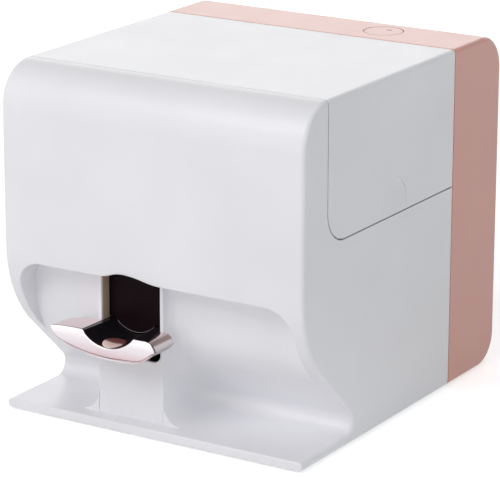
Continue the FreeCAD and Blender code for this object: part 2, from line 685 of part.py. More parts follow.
def arch_cutter(depth):
    crown = (ARCH_X, ARCH_TOP_Z)
    left = (ARCH_X - ARCH_LEFT, RECESS_TOP_Z)
    right = (ARCH_X + ARCH_RIGHT, RECESS_TOP_Z)
    below = RECESS_TOP_Z - 1.0
    return prism(
        "xz", (-5.0, depth),
        (left[0], below), left,
        *s_bend(left, crown),
        *s_bend(crown, right),
        (right[0], below),
    )


def inner_block():
    """Room inside the machine, one wall thickness inside the outer form."""
    low = FOOT_LIFT + WALL
    behind_waist = WAIST[0] + WAIST_R + WALL
    return prism(
        "yz", (-INNER_X, INNER_X),
        (WALL, ARCH_TOP_Z + WALL),
        (WALL, HEIGHT - FRONT_TOP_R),
        arc_to((FRONT_TOP_R, HEIGHT - FRONT_TOP_R), FRONT_TOP_R - WALL, 180.0, 90.0),
        (DEPTH - REAR_TOP_R, INNER_TOP_Z),
        arc_to((DEPTH - REAR_TOP_R, HEIGHT - REAR_TOP_R), REAR_TOP_R - WALL, 90.0, 0.0),
        (DEPTH - WALL, FOOT_LIFT + REAR_BOTTOM_R),
        arc_to((DEPTH - REAR_BOTTOM_R, FOOT_LIFT + REAR_BOTTOM_R), REAR_BOTTOM_R - WALL, 0.0, -90.0),
        (behind_waist, low),
        (behind_waist, WAIST[1]),
        arc_to(WAIST, WAIST_R + WALL, 0.0, NORMAL_DEG),
        polar(BLEND, -(RECESS_BLEND_R - WALL), NORMAL_DEG),
        arc_to(BLEND, RECESS_BLEND_R - WALL, NORMAL_DEG + 180.0, 180.0),
        (RECESS_DEPTH + WALL, ARCH_TOP_Z + WALL),
    )


def meets_pillar(edge):
    """Edges where the pillar's sides run into the recess's back wall."""
    span = edge.BoundBox
    beside = min(abs(span.XMin - side) for side in PILLAR_X) < 1e-6 and span.XLength < 1e-6
    return beside and span.YMin > RECESS_DEPTH - 0.01 and span.ZMax < RECESS_TOP_Z + 0.01


def blend_pillar(shape):
    """Fillet down each side of the pillar; it widens over the bend of the wall."""
    for side in PILLAR_X:
        bend = [edge for edge in shape.Edges if meets_pillar(edge) and abs(edge.BoundBox.XMin - side) < 1e-6
                and abs(edge.BoundBox.ZMax - BLEND[1]) < 0.01]
        shape = shape.makeFillet(PILLAR_FILLET_LOW, PILLAR_FILLET, bend)
    return shape


def pillar_corners():
    """Cutters that round the pillar's two front edges."""
    back = PILLAR_FACE + PILLAR_EDGE_R
    cutters = []
    for side, inward in zip(PILLAR_X, (1, -1)):
        middle = side + inward * PILLAR_EDGE_R
        corner = box(ordered(side, middle), (PILLAR_FACE, back), (PLATE_TOP_Z, RECESS_TOP_Z))
        cutters.append(corner.cut(rod("z", (0.0, HEIGHT), (middle, back), PILLAR_EDGE_R)))
    return cutters


def slot_cutter():
    """The finger opening, rounded at its bottom corners."""
    x0, x1 = SLOT_X
    r = SLOT_CORNER_R
    low = SLOT_BOTTOM_Z
    high = ARCH_TOP_Z - 0.4
    return prism(
        "xz", (PILLAR_FACE - 1.0, PILLAR_FACE + WALL + 1.0),
        (x0, high),
        (x0, low + r),
        arc_to((x0 + r, low + r), r, 180.0, 270.0),
        (x1 - r, low),
        arc_to((x1 - r, low + r), r, 270.0, 360.0),
        (x1, high),
    )


def lies_on(edge, shape):
    """Whether the edge's middle lies on the shape's surface."""
    middle = edge.valueAt((edge.FirstParameter + edge.LastParameter) / 2.0)
    return Part.Vertex(middle).distToShape(shape.Shells[0])[0] < 1e-3


def is_across(edge, y):
    """Whether the edge lies in the plane across the machine at depth y."""
    return abs(edge.BoundBox.YMin - y) < 1e-6 and edge.BoundBox.YLength < 1e-6


def shell(block):
    """Closed outer shell of the machine with recess, pillar and finger opening."""
    recess = recess_cutter()
    arch = arch_cutter(PILLAR_FACE)
    pillar = box(PILLAR_X, (PILLAR_FACE, BASE_FRONT), (PLATE_TOP_Z - 1.0, RECESS_TOP_Z + 1.0))
    outer = block.cut(recess).fuse(pillar).removeSplitter()
    outer = cut(blend_pillar(outer), *pillar_corners(), arch)
    outer = round_edges(outer, RECESS_EDGE_R,
                        lambda edge: lies_on(edge, block) and (lies_on(edge, recess) or lies_on(edge, arch)))
    outer = round_edges(outer, PLATE_EDGE_R,
                        lambda edge: is_across(edge, 0.0) and edge.BoundBox.ZMax < PLATE_TOP_Z + 0.01)
    slot = slot_cutter()
    outer = round_edges(outer.cut(slot), SLOT_EDGE_R,
                        lambda edge: is_across(edge, PILLAR_FACE) and lies_on(edge, slot)
                        and edge.BoundBox.ZMin < RECESS_TOP_Z)
    face = PILLAR_FACE + WALL
    room_top = ARCH_TOP_Z + WALL
    finger_room = box(SLOT_X, (face, RECESS_DEPTH + FINGER_ROOM), (SLOT_BOTTOM_Z, room_top + 1.0))
    pillar_room = box(SLOT_X, (face, BASE_FRONT), (PLATE_TOP_Z + 1.0, SLOT_BOTTOM_Z - WALL))
    behind = box((-INNER_X, INNER_X), (WAIST_DEPTH + WALL, BASE_FRONT), (FOOT_LIFT + WALL, WAIST[1]))
    return cut(outer, inner_block(), finger_room, pillar_room, behind)


# ------------------------------------------------------------------ panels
def flap_outline(x, grow, top=HEIGHT + 2.0):
    """Side outline of the lid's flap, grown by a margin on its front, bottom and rear."""
    front = LID_FRONT + SEAM / 2.0 - grow
    rear = LID_REAR - SEAM / 2.0 + grow
    low = FLAP_BOTTOM_Z + SEAM / 2.0 - grow
    r = FLAP_CORNER_R + grow
    return prism(
        "yz", x,
        (front, top),
        (front, low + r),
        arc_to((front + r, low + r), r, 180.0, 270.0),
        (rear, low),
        (rear, top),
    )


def lid_region(grow):
    """Space of the lid: the top, the right flap and a short left skirt."""
    far = SIDE_X + 1.0
    front = LID_FRONT + SEAM / 2.0 - grow
    rear = LID_REAR - SEAM / 2.0 + grow
    flap = flap_outline((INNER_X - RIM_DEPTH - RIM_GAP, far), grow)
    skirt_low = HINGE_Z + HINGE_R + HINGE_GAP - 1.0 if grow == 0.0 else HINGE_Z - HINGE_R - 0.5
    roof = box((-far, far), (front, rear), (skirt_low, HEIGHT + 1.0))
    return flap.fuse(roof)


def knuckle_web(span):
    """Lid knuckle with the web that hangs it from the skirt."""
    barrel = rod("y", span, (HINGE_X, HINGE_Z), HINGE_R)
    web = box((-SIDE_X, HINGE_X + HINGE_R - 0.5), span, (HINGE_Z, HINGE_Z + 3.6))
    return barrel.fuse(web)


def scoop_cutter():
    """Thumb scoop in the flap: deepest along its round top, fading out below."""
    centre_z = SCOOP_TOP_Z - SCOOP_R
    x = (SIDE_X - 4.0, SIDE_X + 1.0)
    round_top = rod("x", x, (SCOOP_Y, centre_z), SCOOP_R)
    lower = box(x, around(SCOOP_Y, 2.0 * SCOOP_R), (SCOOP_FADE_Z - 2.0, centre_z))
    high = SCOOP_TOP_Z + 1.0
    slope = SCOOP_DEPTH / (SCOOP_TOP_Z - SCOOP_FADE_Z)
    wedge = prism(
        "xz", around(SCOOP_Y, 3.0 * SCOOP_R),
        (SIDE_X, SCOOP_FADE_Z),
        (SIDE_X - slope * (high - SCOOP_FADE_Z), high),
        (SIDE_X + 1.0, high),
        (SIDE_X + 1.0, SCOOP_FADE_Z),
    )
    return round_top.fuse(lower).common(wedge)


def soften_seam(panel, block, *regions):
    """Rounds a panel's outer edges where it ends at a seam."""
    return round_edges(panel, SEAM_EDGE_R,
                       lambda edge: lies_on(edge, block) and any(lies_on(edge, region) for region in regions))


def make_lid(shell_, block):
    region = lid_region(0.0)
    panel = soften_seam(shell_.common(region), block, region)
    panel = panel.cut(rod("y", (LID_FRONT, LID_REAR), (HINGE_X, HINGE_Z), HINGE_R + HINGE_GAP))
    panel = panel.cut(scoop_cutter())
    bore = HINGE_PIN_R + HINGE_FIT
    for span in LID_KNUCKLES:
        panel = panel.fuse(knuckle_web(span))
    panel = panel.cut(rod("y", (LID_FRONT, LID_REAR), (HINGE_X, HINGE_Z), bore))
    ribs = []
    for y in (LID_FRONT + RIB_INSET, (LID_FRONT + LID_REAR) / 2.0, LID_REAR - RIB_INSET):
        ribs.append(box((-INNER_X + RIB_START, INNER_X), around(y, RIB_THICK),
                        (INNER_TOP_Z - RIB_DROP, INNER_TOP_Z)))
    return join(panel, *ribs)


def flap_rim():
    """Stop rim behind the flap's seam, fixed to the housing's right side."""
    inner = INNER_X - RIM_DEPTH
    ring = flap_outline((inner - RIM_GAP, INNER_X - RIM_GAP), 3.0, INNER_TOP_Z - RIM_GAP)
    ring = ring.fuse(flap_outline((INNER_X - RIM_GAP, INNER_X + 0.4), 3.0, INNER_TOP_Z))
    ring = ring.cut(flap_outline((INNER_X - RIM_GAP, INNER_X + 1.0), SEAM, HEIGHT))
    ring = ring.cut(flap_outline((inner - 1.0, INNER_X + 1.0), -5.0, HEIGHT))
    return ring.common(box((0.0, SIDE_X), (0.0, LID_REAR - 6.0), (0.0, HEIGHT)))


def make_front_housing(shell_, block):
    ahead = box((-SIDE_X - 1.0, SIDE_X + 1.0), (-1.0, LID_REAR - SEAM / 2.0), (-1.0, HEIGHT + 1.0))
    region = lid_region(SEAM)
    body = soften_seam(shell_.common(ahead).cut(region), block, ahead, region)
    under_lid = INNER_TOP_Z - RIM_GAP
    rim_x = (-INNER_X + RIM_GAP, INNER_X - RIM_GAP)
    front_rim = box(rim_x, (LID_FRONT - FRONT_RIM[0], LID_FRONT + FRONT_RIM[1]),
                    (under_lid - RIM_DEPTH, under_lid))
    front_root = box(rim_x, (LID_FRONT - FRONT_RIM_ROOT[0], LID_FRONT - FRONT_RIM_ROOT[1]),
                     (under_lid - RIM_DEPTH, HEIGHT - 2.0))
    hinge_rib = box((-INNER_X - 0.4, HINGE_X + HINGE_R), HINGE_BEAD, (HINGE_Z - HINGE_RIB_DROP, HINGE_Z))
    bead = rod("y", HINGE_BEAD, (HINGE_X, HINGE_Z), HINGE_R)
    body = join(body, front_rim, front_root, flap_rim(), bead, hinge_rib)
    for span in LID_KNUCKLES:
        room = (span[0] - HINGE_GAP, span[1] + HINGE_GAP)
        body = body.cut(box((-SIDE_X - 1.0, HINGE_X + HINGE_R + 1.0), room,
                            (HINGE_Z - HINGE_R - 0.5, HINGE_Z + HINGE_R)))
    body = body.cut(rod("y", HINGE_BEAD, (HINGE_X, HINGE_Z), HINGE_PIN_R + HINGE_FIT))
    bottom = box((-INNER_X, INNER_X), (BASE_FRONT - 0.4, LID_REAR + 1.0), (-1.0, FOOT_LIFT + WALL + 0.1))
    body = body.cut(bottom)
    magnet_tab = box((INNER_X - MAGNET_TAB[0], INNER_X - RIM_GAP), around(MAGNET_Y, MAGNET_TAB[1]),
                     (FLAP_BOTTOM_Z - MAGNET_TAB_Z[0], MAGNET_Z + MAGNET_TAB_Z[1]))
    body = join(body, magnet_tab.cut(flap_outline((INNER_X - RIM_DEPTH - RIM_GAP, SIDE_X), 0.0)))
    body = body.cut(make_housing_magnet())
    for x, y in BASE_SCREWS[:4]:
        body = body.fuse(side_boss(x, y)).cut(boss_bore(x, y))
    ledge_z = (TRAY_Z - LEDGE_DROP, TRAY_Z)
    left_ledge_y = (LID_FRONT + LEDGE_INSET[0], LID_REAR - LEDGE_INSET[1])
    body = body.fuse(box((-INNER_X - 0.4, -INNER_X + LEDGE_REACH), left_ledge_y, ledge_z))
    body = body.fuse(box((INNER_X - LEDGE_REACH, INNER_X + 0.4), (8.0, LID_FRONT - 3.0), ledge_z))
    for x in (-FOOT_X, FOOT_X):
        body = body.cut(rod("z", (FOOT_LIFT - 0.1, FOOT_LIFT + FOOT_SINK), (x, FRONT_FOOT_Y), FOOT_R))
    pivots = rod("x", door_reach(DOOR_PIVOT + HINGE_FIT), DOOR_AXIS, DOOR_PIN_R + HINGE_FIT)
    return join(body, *door_ears()).cut(pivots)


def side_boss(x, y):
    """Screw boss rising from the base plate, joined to the nearest side wall."""
    wall = math.copysign(INNER_X + 0.4, x)
    z = (BASE_TOP_Z, BASE_TOP_Z + BOSS_HEIGHT)
    web = box(ordered(x, wall), around(y, BOSS_WEB), z)
    return rod("z", z, (x, y), BOSS_R).fuse(web)


def boss_bore(x, y):
    z = (BASE_TOP_Z, BASE_TOP_Z + BOSS_HEIGHT - BOSS_TOP)
    return rod("z", z, (x, y), SCREW_SHANK_R + HINGE_FIT)


def door_ears():
    """Two lugs over the opening that hold the door's pivots."""
    back = RECESS_DEPTH + WALL + EAR_MARGIN[0]
    top = DOOR_AXIS[1] + EAR_MARGIN[1]
    z = (RECESS_TOP_Z + 1.0, top)
    y = (PILLAR_FACE + WALL, back)
    return box((SLOT_X[0] - EAR_THICK, SLOT_X[0]), y, z), box((SLOT_X[1], SLOT_X[1] + EAR_THICK), y, z)


def door_reach(overhang):
    """Span across the finger opening, grown past both of its sides."""
    return (SLOT_X[0] - overhang, SLOT_X[1] + overhang)


def make_rear_cover(shell_, block):
    start = LID_REAR + SEAM / 2.0
    behind = box((-SIDE_X - 1.0, SIDE_X + 1.0), (start, DEPTH + 1.0), (-1.0, HEIGHT + 1.0))
    cover = soften_seam(shell_.common(behind), block, behind)
    tongue_x = (-INNER_X + COVER_FIT, INNER_X - COVER_FIT)
    outer = box(tongue_x, (start - COVER_TONGUE, start), (BASE_TOP_Z + 0.5, INNER_TOP_Z - RIM_GAP))
    root = box((-INNER_X - 0.4, INNER_X + 0.4), (start, start + 3.0), (BASE_TOP_Z + 0.5, INNER_TOP_Z + 0.4))
    clear = INNER_X - RIM_DEPTH
    inner = box((-clear, clear), (start - COVER_TONGUE - 1.0, start + 4.0), (0.0, INNER_TOP_Z - RIM_DEPTH))
    cover = join(cover, outer.fuse(root).cut(inner))
    cover = cover.cut(box((-INNER_X, INNER_X), (start - COVER_TONGUE - 1.0, BASE_BACK + RIM_GAP),
                          (-1.0, BASE_TOP_Z + RIM_GAP)))

    bore = BUTTON_R + BUTTON_GAP
    seat_top = BUTTON_FLOOR_Z + BUTTON_SEAT
    guide = tube("z", (BUTTON_FLOOR_Z, INNER_TOP_Z + 0.4), (BUTTON_X, BUTTON_Y),
                 bore + BUTTON_GUIDE_WALL, bore)
    seat = rod("z", (BUTTON_FLOOR_Z, seat_top), (BUTTON_X, BUTTON_Y), bore + 0.5)
    cover = join(cover, guide, seat)
    cover = cover.cut(rod("z", (INNER_TOP_Z - 1.0, HEIGHT + 1.0), (BUTTON_X, BUTTON_Y), bore))
    stem_bore = BUTTON_STEM_R + BUTTON_STEM_GAP
    cover = cover.cut(rod("z", (BUTTON_FLOOR_Z - 1.0, INNER_TOP_Z), (BUTTON_X, BUTTON_Y), stem_bore))
    for x, y in BUTTON_POSTS:
        post = rod("z", (SWITCH_BOARD_Z[1], INNER_TOP_Z + 0.4), (x, y), BUTTON_POST_R)
        cover = cover.fuse(post.cut(rod("z", (seat_top, INNER_TOP_Z), (BUTTON_X, BUTTON_Y), bore)))
    through_back = (DEPTH - WALL - 1.0, DEPTH + 1.0)
    cover = cover.cut(rod("y", through_back, (JACK_X, JACK_Z), JACK_R + JACK_ROOM))
    for side in (-1, 1):
        for row in range(VENT_COUNT):
            z = around(VENT_LOW_Z + row * VENT_PITCH, VENT_SIZE[1])
            cover = cover.cut(box(around(side * VENT_X, VENT_SIZE[0]), through_back, z))
    for x, y in BASE_SCREWS[4:]:
        cover = cover.fuse(side_boss(x, y)).cut(boss_bore(x, y))
    return cover


def make_base_plate():
    plate = box((-BASE_HALF, BASE_HALF), (BASE_FRONT, BASE_BACK), (FOOT_LIFT, BASE_TOP_Z))
    for x, y in BASE_SCREWS + CHASSIS_SCREWS:
        plate = plate.cut(rod("z", (0.0, BASE_TOP_Z + 1.0), (x, y), SCREW_SHANK_R + SHANK_ROOM))
        plate = plate.cut(rod("z", (0.0, SCREW_SEAT_Z), (x, y), SCREW_HEAD[0] + HEAD_ROOM))
    for x in (-FOOT_X, FOOT_X):
        plate = plate.cut(rod("z", (0.0, FOOT_LIFT + FOOT_SINK), (x, REAR_FOOT_Y), FOOT_R))
    for row in range(BASE_VENT_COUNT):
        y = BASE_VENT_Y + row * VENT_PITCH
        plate = plate.cut(box(around(BASE_VENT_X, VENT_SIZE[0]), around(y, VENT_SIZE[1]),
                              (0.0, BASE_TOP_Z + 1.0)))
    return plate


def make_rubber_feet():
    feet = []
    for x in (-FOOT_X, FOOT_X):
        for y in (FRONT_FOOT_Y, REAR_FOOT_Y):
            foot = rod("z", (0.0, FOOT_LIFT + FOOT_SINK), (x, y), FOOT_R - FOOT_FIT)
            feet.append(round_edges(foot, FOOT_EDGE_R, lambda edge: edge.BoundBox.ZMax < 0.01))
    return Part.makeCompound(feet)


def make_base_screws():
    return Part.makeCompound([screw(x, y, BASE_SCREW_LENGTH) for x, y in BASE_SCREWS])


def make_chassis_screws():
    return Part.makeCompound([screw(x, y, CHASSIS_SCREW_LENGTH) for x, y in CHASSIS_SCREWS])


def make_hinge_pins():
    pins = []
    for span in LID_KNUCKLES:
        reach = (span[0] - PIN_OVERHANG, span[1] + PIN_OVERHANG)
        pins.append(rod("y", reach, (HINGE_X, HINGE_Z), HINGE_PIN_R))
    return Part.makeCompound(pins)


def make_lid_magnet():
    inside = INNER_X - RIM_DEPTH + 0.2
    return rod("x", (inside, INNER_X), (MAGNET_Y, MAGNET_Z), MAGNET_R)


def make_housing_magnet():
    face = INNER_X - RIM_DEPTH - RIM_GAP
    return rod("x", (face - MAGNET_THICK, face), (MAGNET_Y, MAGNET_Z), MAGNET_R)


def make_inner_tray():
    """Shelf under the lid that frames the opening over the print mechanism."""
    z = (TRAY_Z, TRAY_Z + TRAY_THICK)
    right = INNER_X - RIM_DEPTH - TRAY_SIDE_GAP
    plate = box((-INNER_X + RIM_DEPTH, right), (TRAY_FRONT, LID_REAR - TRAY_BACK_GAP), z)
    x = (-INNER_X + TRAY_BORDER[0], right - TRAY_BORDER[1])
    y = (LID_FRONT + TRAY_BORDER[2], LID_REAR - TRAY_BACK_GAP - TRAY_BORDER[1])
    collar = box((x[0] - TRAY_LIP, x[1] + TRAY_LIP), (y[0] - TRAY_LIP, y[1] + TRAY_LIP),
                 (TRAY_Z - TRAY_COLLAR, TRAY_Z + TRAY_THICK))
    tray = plate.fuse(collar).cut(box(x, y, (0.0, HEIGHT)))
    return round_edges(tray, TRAY_CORNER_R, lambda edge: is_upright(edge) and edge.BoundBox.YMin > LID_FRONT)


# ------------------------------------------------------------------ lever and cradle
def lever_outline(span, inset=0.0):
    """Front outline of the lever: a long pointed left end, a saddle, a rounded right end."""
    top = LEVER_TOP_Z - inset
    low = LEVER_TOP_Z - LEVER_DROP + inset
    left = LEVER_X - LEVER_LEFT + inset
    right = LEVER_X + LEVER_RIGHT - inset
    drop = top - low
    wide = right - left
    return prism(
        "xz", span,
        (left, top - 0.07 * drop),
        (left + 0.17 * wide, top - 0.005 * drop, left + 0.28 * wide, top),
        (right - 0.12 * wide, top),
        (right - 0.026 * wide, top - 0.13 * drop, right, top - 0.36 * drop),
        (right - 0.065 * wide, top - 0.66 * drop, right - 0.157 * wide, top - 0.9 * drop),
        (right - 0.39 * wide, low, right - 0.61 * wide, top - 0.96 * drop),
        (right - 0.77 * wide, top - 0.8 * drop, right - 0.9 * wide, top - 0.63 * drop),
        (right - 0.967 * wide, top - 0.43 * drop, left, top - 0.17 * drop),
    )


def arc_circle(half, drop):
    """Radius of the arc with this half chord and depth."""
    return (half * half + drop * drop) / (2.0 * drop)


FRONT_GROOVE_R = arc_circle(HORN_HALF, SADDLE_DROP)
REAR_GROOVE_R = arc_circle(GROOVE_REAR_HALF, GROOVE_REAR_DEPTH)


def groove(lift=0.0):
    """The finger groove: it narrows from the lever to the opening, then runs straight."""
    front = -LEVER_REACH - 1.0
    floor = LEVER_TOP_Z - SADDLE_DROP
    mouth = ring(front, FRONT_GROOVE_R - lift, floor + FRONT_GROOVE_R)
    neck = ring(GROOVE_REAR_START, REAR_GROOVE_R - lift, GROOVE_REAR_FLOOR_Z + REAR_GROOVE_R)
    funnel = Part.makeLoft([mouth, neck], True, True)
    straight = rod("y", (GROOVE_REAR_START, CRADLE_END - FINGER_STOP),
                   (LEVER_X, GROOVE_REAR_FLOOR_Z + REAR_GROOVE_R), REAR_GROOVE_R - lift)
    return funnel.fuse(straight)


def ring(y, radius, z):
    return Part.Wire(Part.makeCircle(radius, V(LEVER_X, y, z), V(0, 1, 0)))


def cradle_block():
    back = LEVER_BACK + 0.4
    slot = (SLOT_X[0] + CRADLE_INSET, SLOT_X[1] - CRADLE_INSET)
    front = prism(
        "xy", (CRADLE_BOTTOM_Z, CRADLE_TOP_Z),
        (LEVER_X - CRADLE_FLARE[0], BEZEL_BACK),
        (LEVER_X + CRADLE_FLARE[1], BEZEL_BACK),
        (slot[1], back),
        (slot[0], back),
    )
    rear = box(slot, (back, CRADLE_END), (CRADLE_BOTTOM_Z, CRADLE_TOP_Z))
    return front, rear


def make_lever_bezel():
    """Crowned front trim: its face bulges from the rim to the middle."""
    form = lever_outline((-LEVER_REACH, BEZEL_BACK))
    middle_z = LEVER_TOP_Z - LEVER_DROP / 2.0
    upright = rod("x", (LEVER_X - LEVER_LEFT - 1.0, LEVER_X + LEVER_RIGHT + 1.0),
                  (CROWN_R - LEVER_REACH, middle_z), CROWN_R)
    return form.common(upright).cut(groove())


def make_lever_body():
    form = lever_outline((BEZEL_BACK, LEVER_BACK), 0.4)
    left = LEVER_X - LEVER_LEFT
    r = LEVER_REAR_CORNER_R
    plan = prism(
        "xy", (0.0, HEIGHT),
        (left, BEZEL_BACK),
        (left, LEVER_BACK - r),
        arc_to((left + r, LEVER_BACK - r), r, 180.0, 90.0),
        (LEVER_X + LEVER_RIGHT, LEVER_BACK),
        (LEVER_X + LEVER_RIGHT, BEZEL_BACK),
    )
    front, _ = cradle_block()
    well = front.fuse(front.translated(V(0, 0, 3.0)))
    return form.common(plan).cut(well)


def make_cradle():
    front, rear = cradle_block()
    body = join(front, rear).cut(groove())
    for x in LEVER_SCREW_X:
        bore = (CRADLE_BOTTOM_Z, CRADLE_BOTTOM_Z + LEVER_SCREW_LENGTH + LEVER_SCREW_END)
        body = body.cut(rod("z", bore, (x, LEVER_SCREW_Y), LEVER_SCREW_R + SLIDE_FIT))
    return body


def make_pad():
    half_x, half_y = PAD_SIZE[0] / 2.0, PAD_SIZE[1] / 2.0
    oval = Part.Ellipse(V(0, 0, 0), half_y, half_x).toShape()
    oval.rotate(V(0, 0, 0), V(0, 0, 1), 90.0)
    oval.translate(V(LEVER_X + PAD_SHIFT, BEZEL_BACK + PAD_START + half_y, CRADLE_BOTTOM_Z + 0.5))
    post = Part.Face(Part.Wire(oval)).extrude(V(0, 0, 12.0))
    return post.common(groove()).cut(groove(PAD_RISE))


def make_bracket():
    """Sled under the cradle with a bushing on each guide rod."""
    tops = (CRADLE_BOTTOM_Z - BRACKET_THICK, CRADLE_BOTTOM_Z)
    plate = box(around(LEVER_X, BRACKET_WIDE), (PILLAR_FACE + BRACKET_START, CRADLE_END - BRACKET_END), tops)
    arm = box(around(LEVER_X, 2.0 * GUIDE_SPREAD), around(GUIDE_Y, BRACKET_ARM), tops)
    parts = [plate, arm]
    for side in (-1, 1):
        x = LEVER_X + side * GUIDE_SPREAD
        parts.append(rod("z", BUSH_Z, (x, GUIDE_Y), BUSH_R))
    sled = join(*parts)
    for side in (-1, 1):
        x = LEVER_X + side * GUIDE_SPREAD
        sled = sled.cut(rod("z", (0.0, HEIGHT), (x, GUIDE_Y), GUIDE_R + SLIDE_FIT))
    return sled


def make_finger_frame():
    """Frame on the base plate: it holds both guide rods and stops the sled at the top."""
    outer = GUIDE_SPREAD + FRAME_REACH
    y = around(GUIDE_Y, FRAME_DEEP)
    top = (FRAME_TOP_Z - FRAME_THICK, FRAME_TOP_Z)
    foot = (BASE_TOP_Z, BASE_TOP_Z + FRAME_THICK)
    parts = [box(around(LEVER_X, 2.0 * outer), y, foot)]
    for side in (-1, 1):
        x = LEVER_X + side * GUIDE_SPREAD
        edge = LEVER_X + side * outer
        inner = LEVER_X + side * (outer - FRAME_THICK)
        tab_end = LEVER_X + side * (GUIDE_SPREAD - FRAME_TOP_REACH)
        parts.append(box(ordered(inner, edge), y, (foot[0], top[1])))
        parts.append(box(ordered(tab_end, edge), y, top))
        parts.append(rod("z", (foot[0], SPRING_FLOOR_Z), (x, GUIDE_Y), SPRING_R + SPRING_SEAT_RIM))
    frame = join(*parts)
    for side in (-1, 1):
        x = LEVER_X + side * GUIDE_SPREAD
        frame = frame.cut(rod("z", (foot[0] - 1.0, top[1] + 1.0), (x, GUIDE_Y), GUIDE_R + HINGE_FIT))
    return frame


def make_guide_rods():
    rods = [rod("z", (BASE_TOP_Z, FRAME_TOP_Z), (LEVER_X + side * GUIDE_SPREAD, GUIDE_Y), GUIDE_R)
            for side in (-1, 1)]
    return Part.makeCompound(rods)


def make_lift_springs():
    coils = [coil((LEVER_X + side * GUIDE_SPREAD, GUIDE_Y), SPRING_FLOOR_Z, BUSH_Z[0],
                  SPRING_R, SPRING_WIRE_R, SPRING_TURNS) for side in (-1, 1)]
    return Part.makeCompound(coils)


def make_lever_screws():
    z = (CRADLE_BOTTOM_Z, CRADLE_BOTTOM_Z + LEVER_SCREW_LENGTH)
    return Part.makeCompound([rod("z", z, (x, LEVER_SCREW_Y), LEVER_SCREW_R) for x in LEVER_SCREW_X])


def make_door():
    """Hanging shield with a moulded pivot on each side."""
    x = door_reach(-DOOR_GAP)
    plate = box(x, (DOOR_FACE, DOOR_FACE + DOOR_THICK), (CRADLE_TOP_Z + DOOR_GAP, DOOR_AXIS[1]))
    barrel = rod("x", x, DOOR_AXIS, DOOR_BARREL_R)
    pivots = rod("x", door_reach(DOOR_PIVOT), DOOR_AXIS, DOOR_PIN_R)
    return join(plate, barrel, pivots)


def make_door_skirt():
    """Soft skirt under the door: its round lower edge closes the groove."""
    y = (DOOR_FACE, DOOR_FACE + DOOR_THICK)
    low = CRADLE_TOP_Z + DOOR_GAP
    lobe = rod("y", y, (LEVER_X, GROOVE_REAR_FLOOR_Z + REAR_GROOVE_R), REAR_GROOVE_R - DOOR_GAP)
    return lobe.common(box(door_reach(-DOOR_GAP), y, (0.0, low)))


# ------------------------------------------------------------------ print mechanism
def make_side_frames():
    """Two folded side plates: each has a window, a floor flange and a front tab."""
    front, rear = CHASSIS_Y
    frames = []
    for side in (-1, 1):
        plate_x = ordered(side * CHASSIS_X, side * (CHASSIS_X - SHEET))
        plate = box(plate_x, (front, rear), (BASE_TOP_Z, CHASSIS_TOP_Z))
        window = box(plate_x, (front + WINDOW_FRONT, rear - WINDOW_REAR), WINDOW_Z)
        plate = plate.cut(round_edges(window, WINDOW_R, lambda edge: edge.BoundBox.XLength > SHEET / 2.0))
        flange = box(ordered(side * CHASSIS_X, side * (CHASSIS_X - FLANGE)), (front, rear - SHEET),
                     (BASE_TOP_Z, BASE_TOP_Z + SHEET))
        tab = box(ordered(side * CHASSIS_X, side * (Y_ROD_X - TAB_MARGIN)), (front, front + SHEET),
                  (SCREW_Z - TAB_MARGIN, Y_ROD_Z + TAB_MARGIN))
        through_tab = (front - 1.0, front + SHEET + 1.0)
        sheet = join(plate, flange, tab)
        sheet = sheet.cut(rod("y", through_tab, (side * Y_ROD_X, Y_ROD_Z), Y_ROD_R + HINGE_FIT))
        if side > 0:
            sheet = sheet.cut(rod("y", through_tab, (Y_ROD_X, SCREW_Z), SCREW_R + SLIDE_FIT))
        for x, y in CHASSIS_SCREWS:
            sheet = sheet.cut(rod("z", (BASE_TOP_Z - 1.0, BASE_TOP_Z + SHEET + 1.0), (x, y),
                                  SCREW_SHANK_R + HINGE_FIT))
        frames.append(sheet)
    return Part.makeCompound(frames)


def make_rear_frame():
    """Rear plate between the side plates, with a standoff at each corner of the main board."""
    rear = CHASSIS_Y[1]
    inner = CHASSIS_X - SHEET
    plate = box((-inner, inner), (rear - SHEET, rear), (BASE_TOP_Z + REAR_FRAME_LIFT, CHASSIS_TOP_Z))
    through = (rear - SHEET - 1.0, rear + 1.0)
    for side in (-1, 1):
        plate = plate.cut(rod("y", through, (side * Y_ROD_X, Y_ROD_Z), Y_ROD_R + HINGE_FIT))
    posts = [tube("y", (rear, BOARD_Y), spot, POST_R, BOARD_SCREW_R + SLIDE_FIT) for spot in BOARD_POSTS]
    return join(plate, *posts)


def make_y_rods():
    front, rear = CHASSIS_Y
    return Part.makeCompound([rod("y", (front, rear), (side * Y_ROD_X, Y_ROD_Z), Y_ROD_R)
                              for side in (-1, 1)])


def make_lead_screw():
    """Threaded spindle with a collar and a plain nose at the motor end."""
    axis = (Y_ROD_X, SCREW_Z)
    shoulder = Y_MOTOR_FACE - 1.0
    spindle = rod("y", (CHASSIS_Y[0], shoulder), axis, SCREW_R)
    collar = rod("y", (shoulder - COLLAR_LENGTH, shoulder), axis, SCREW_R + COLLAR_RIM)
    nose = rod("y", (shoulder, Y_MOTOR_FACE + SCREW_NOSE), axis, SCREW_JOURNAL_R)
    return join(spindle, collar, nose)


def make_y_motor():
    back = Y_MOTOR_FACE + Y_MOTOR_LENGTH
    axis = (Y_ROD_X, SCREW_Z)
    can = rod("y", (Y_MOTOR_FACE, back), axis, Y_MOTOR_R)
    plug = box(around(Y_ROD_X, Y_MOTOR_PLUG), (Y_MOTOR_FACE + 5.0, back - 2.0),
               (SCREW_Z - Y_MOTOR_R - 3.0, SCREW_Z - 5.0))
    bore = rod("y", (Y_MOTOR_FACE - 1.0, Y_MOTOR_FACE + SCREW_NOSE + 1.0), axis, SCREW_JOURNAL_R + SLIDE_FIT)
    return join(can, plug).cut(bore)


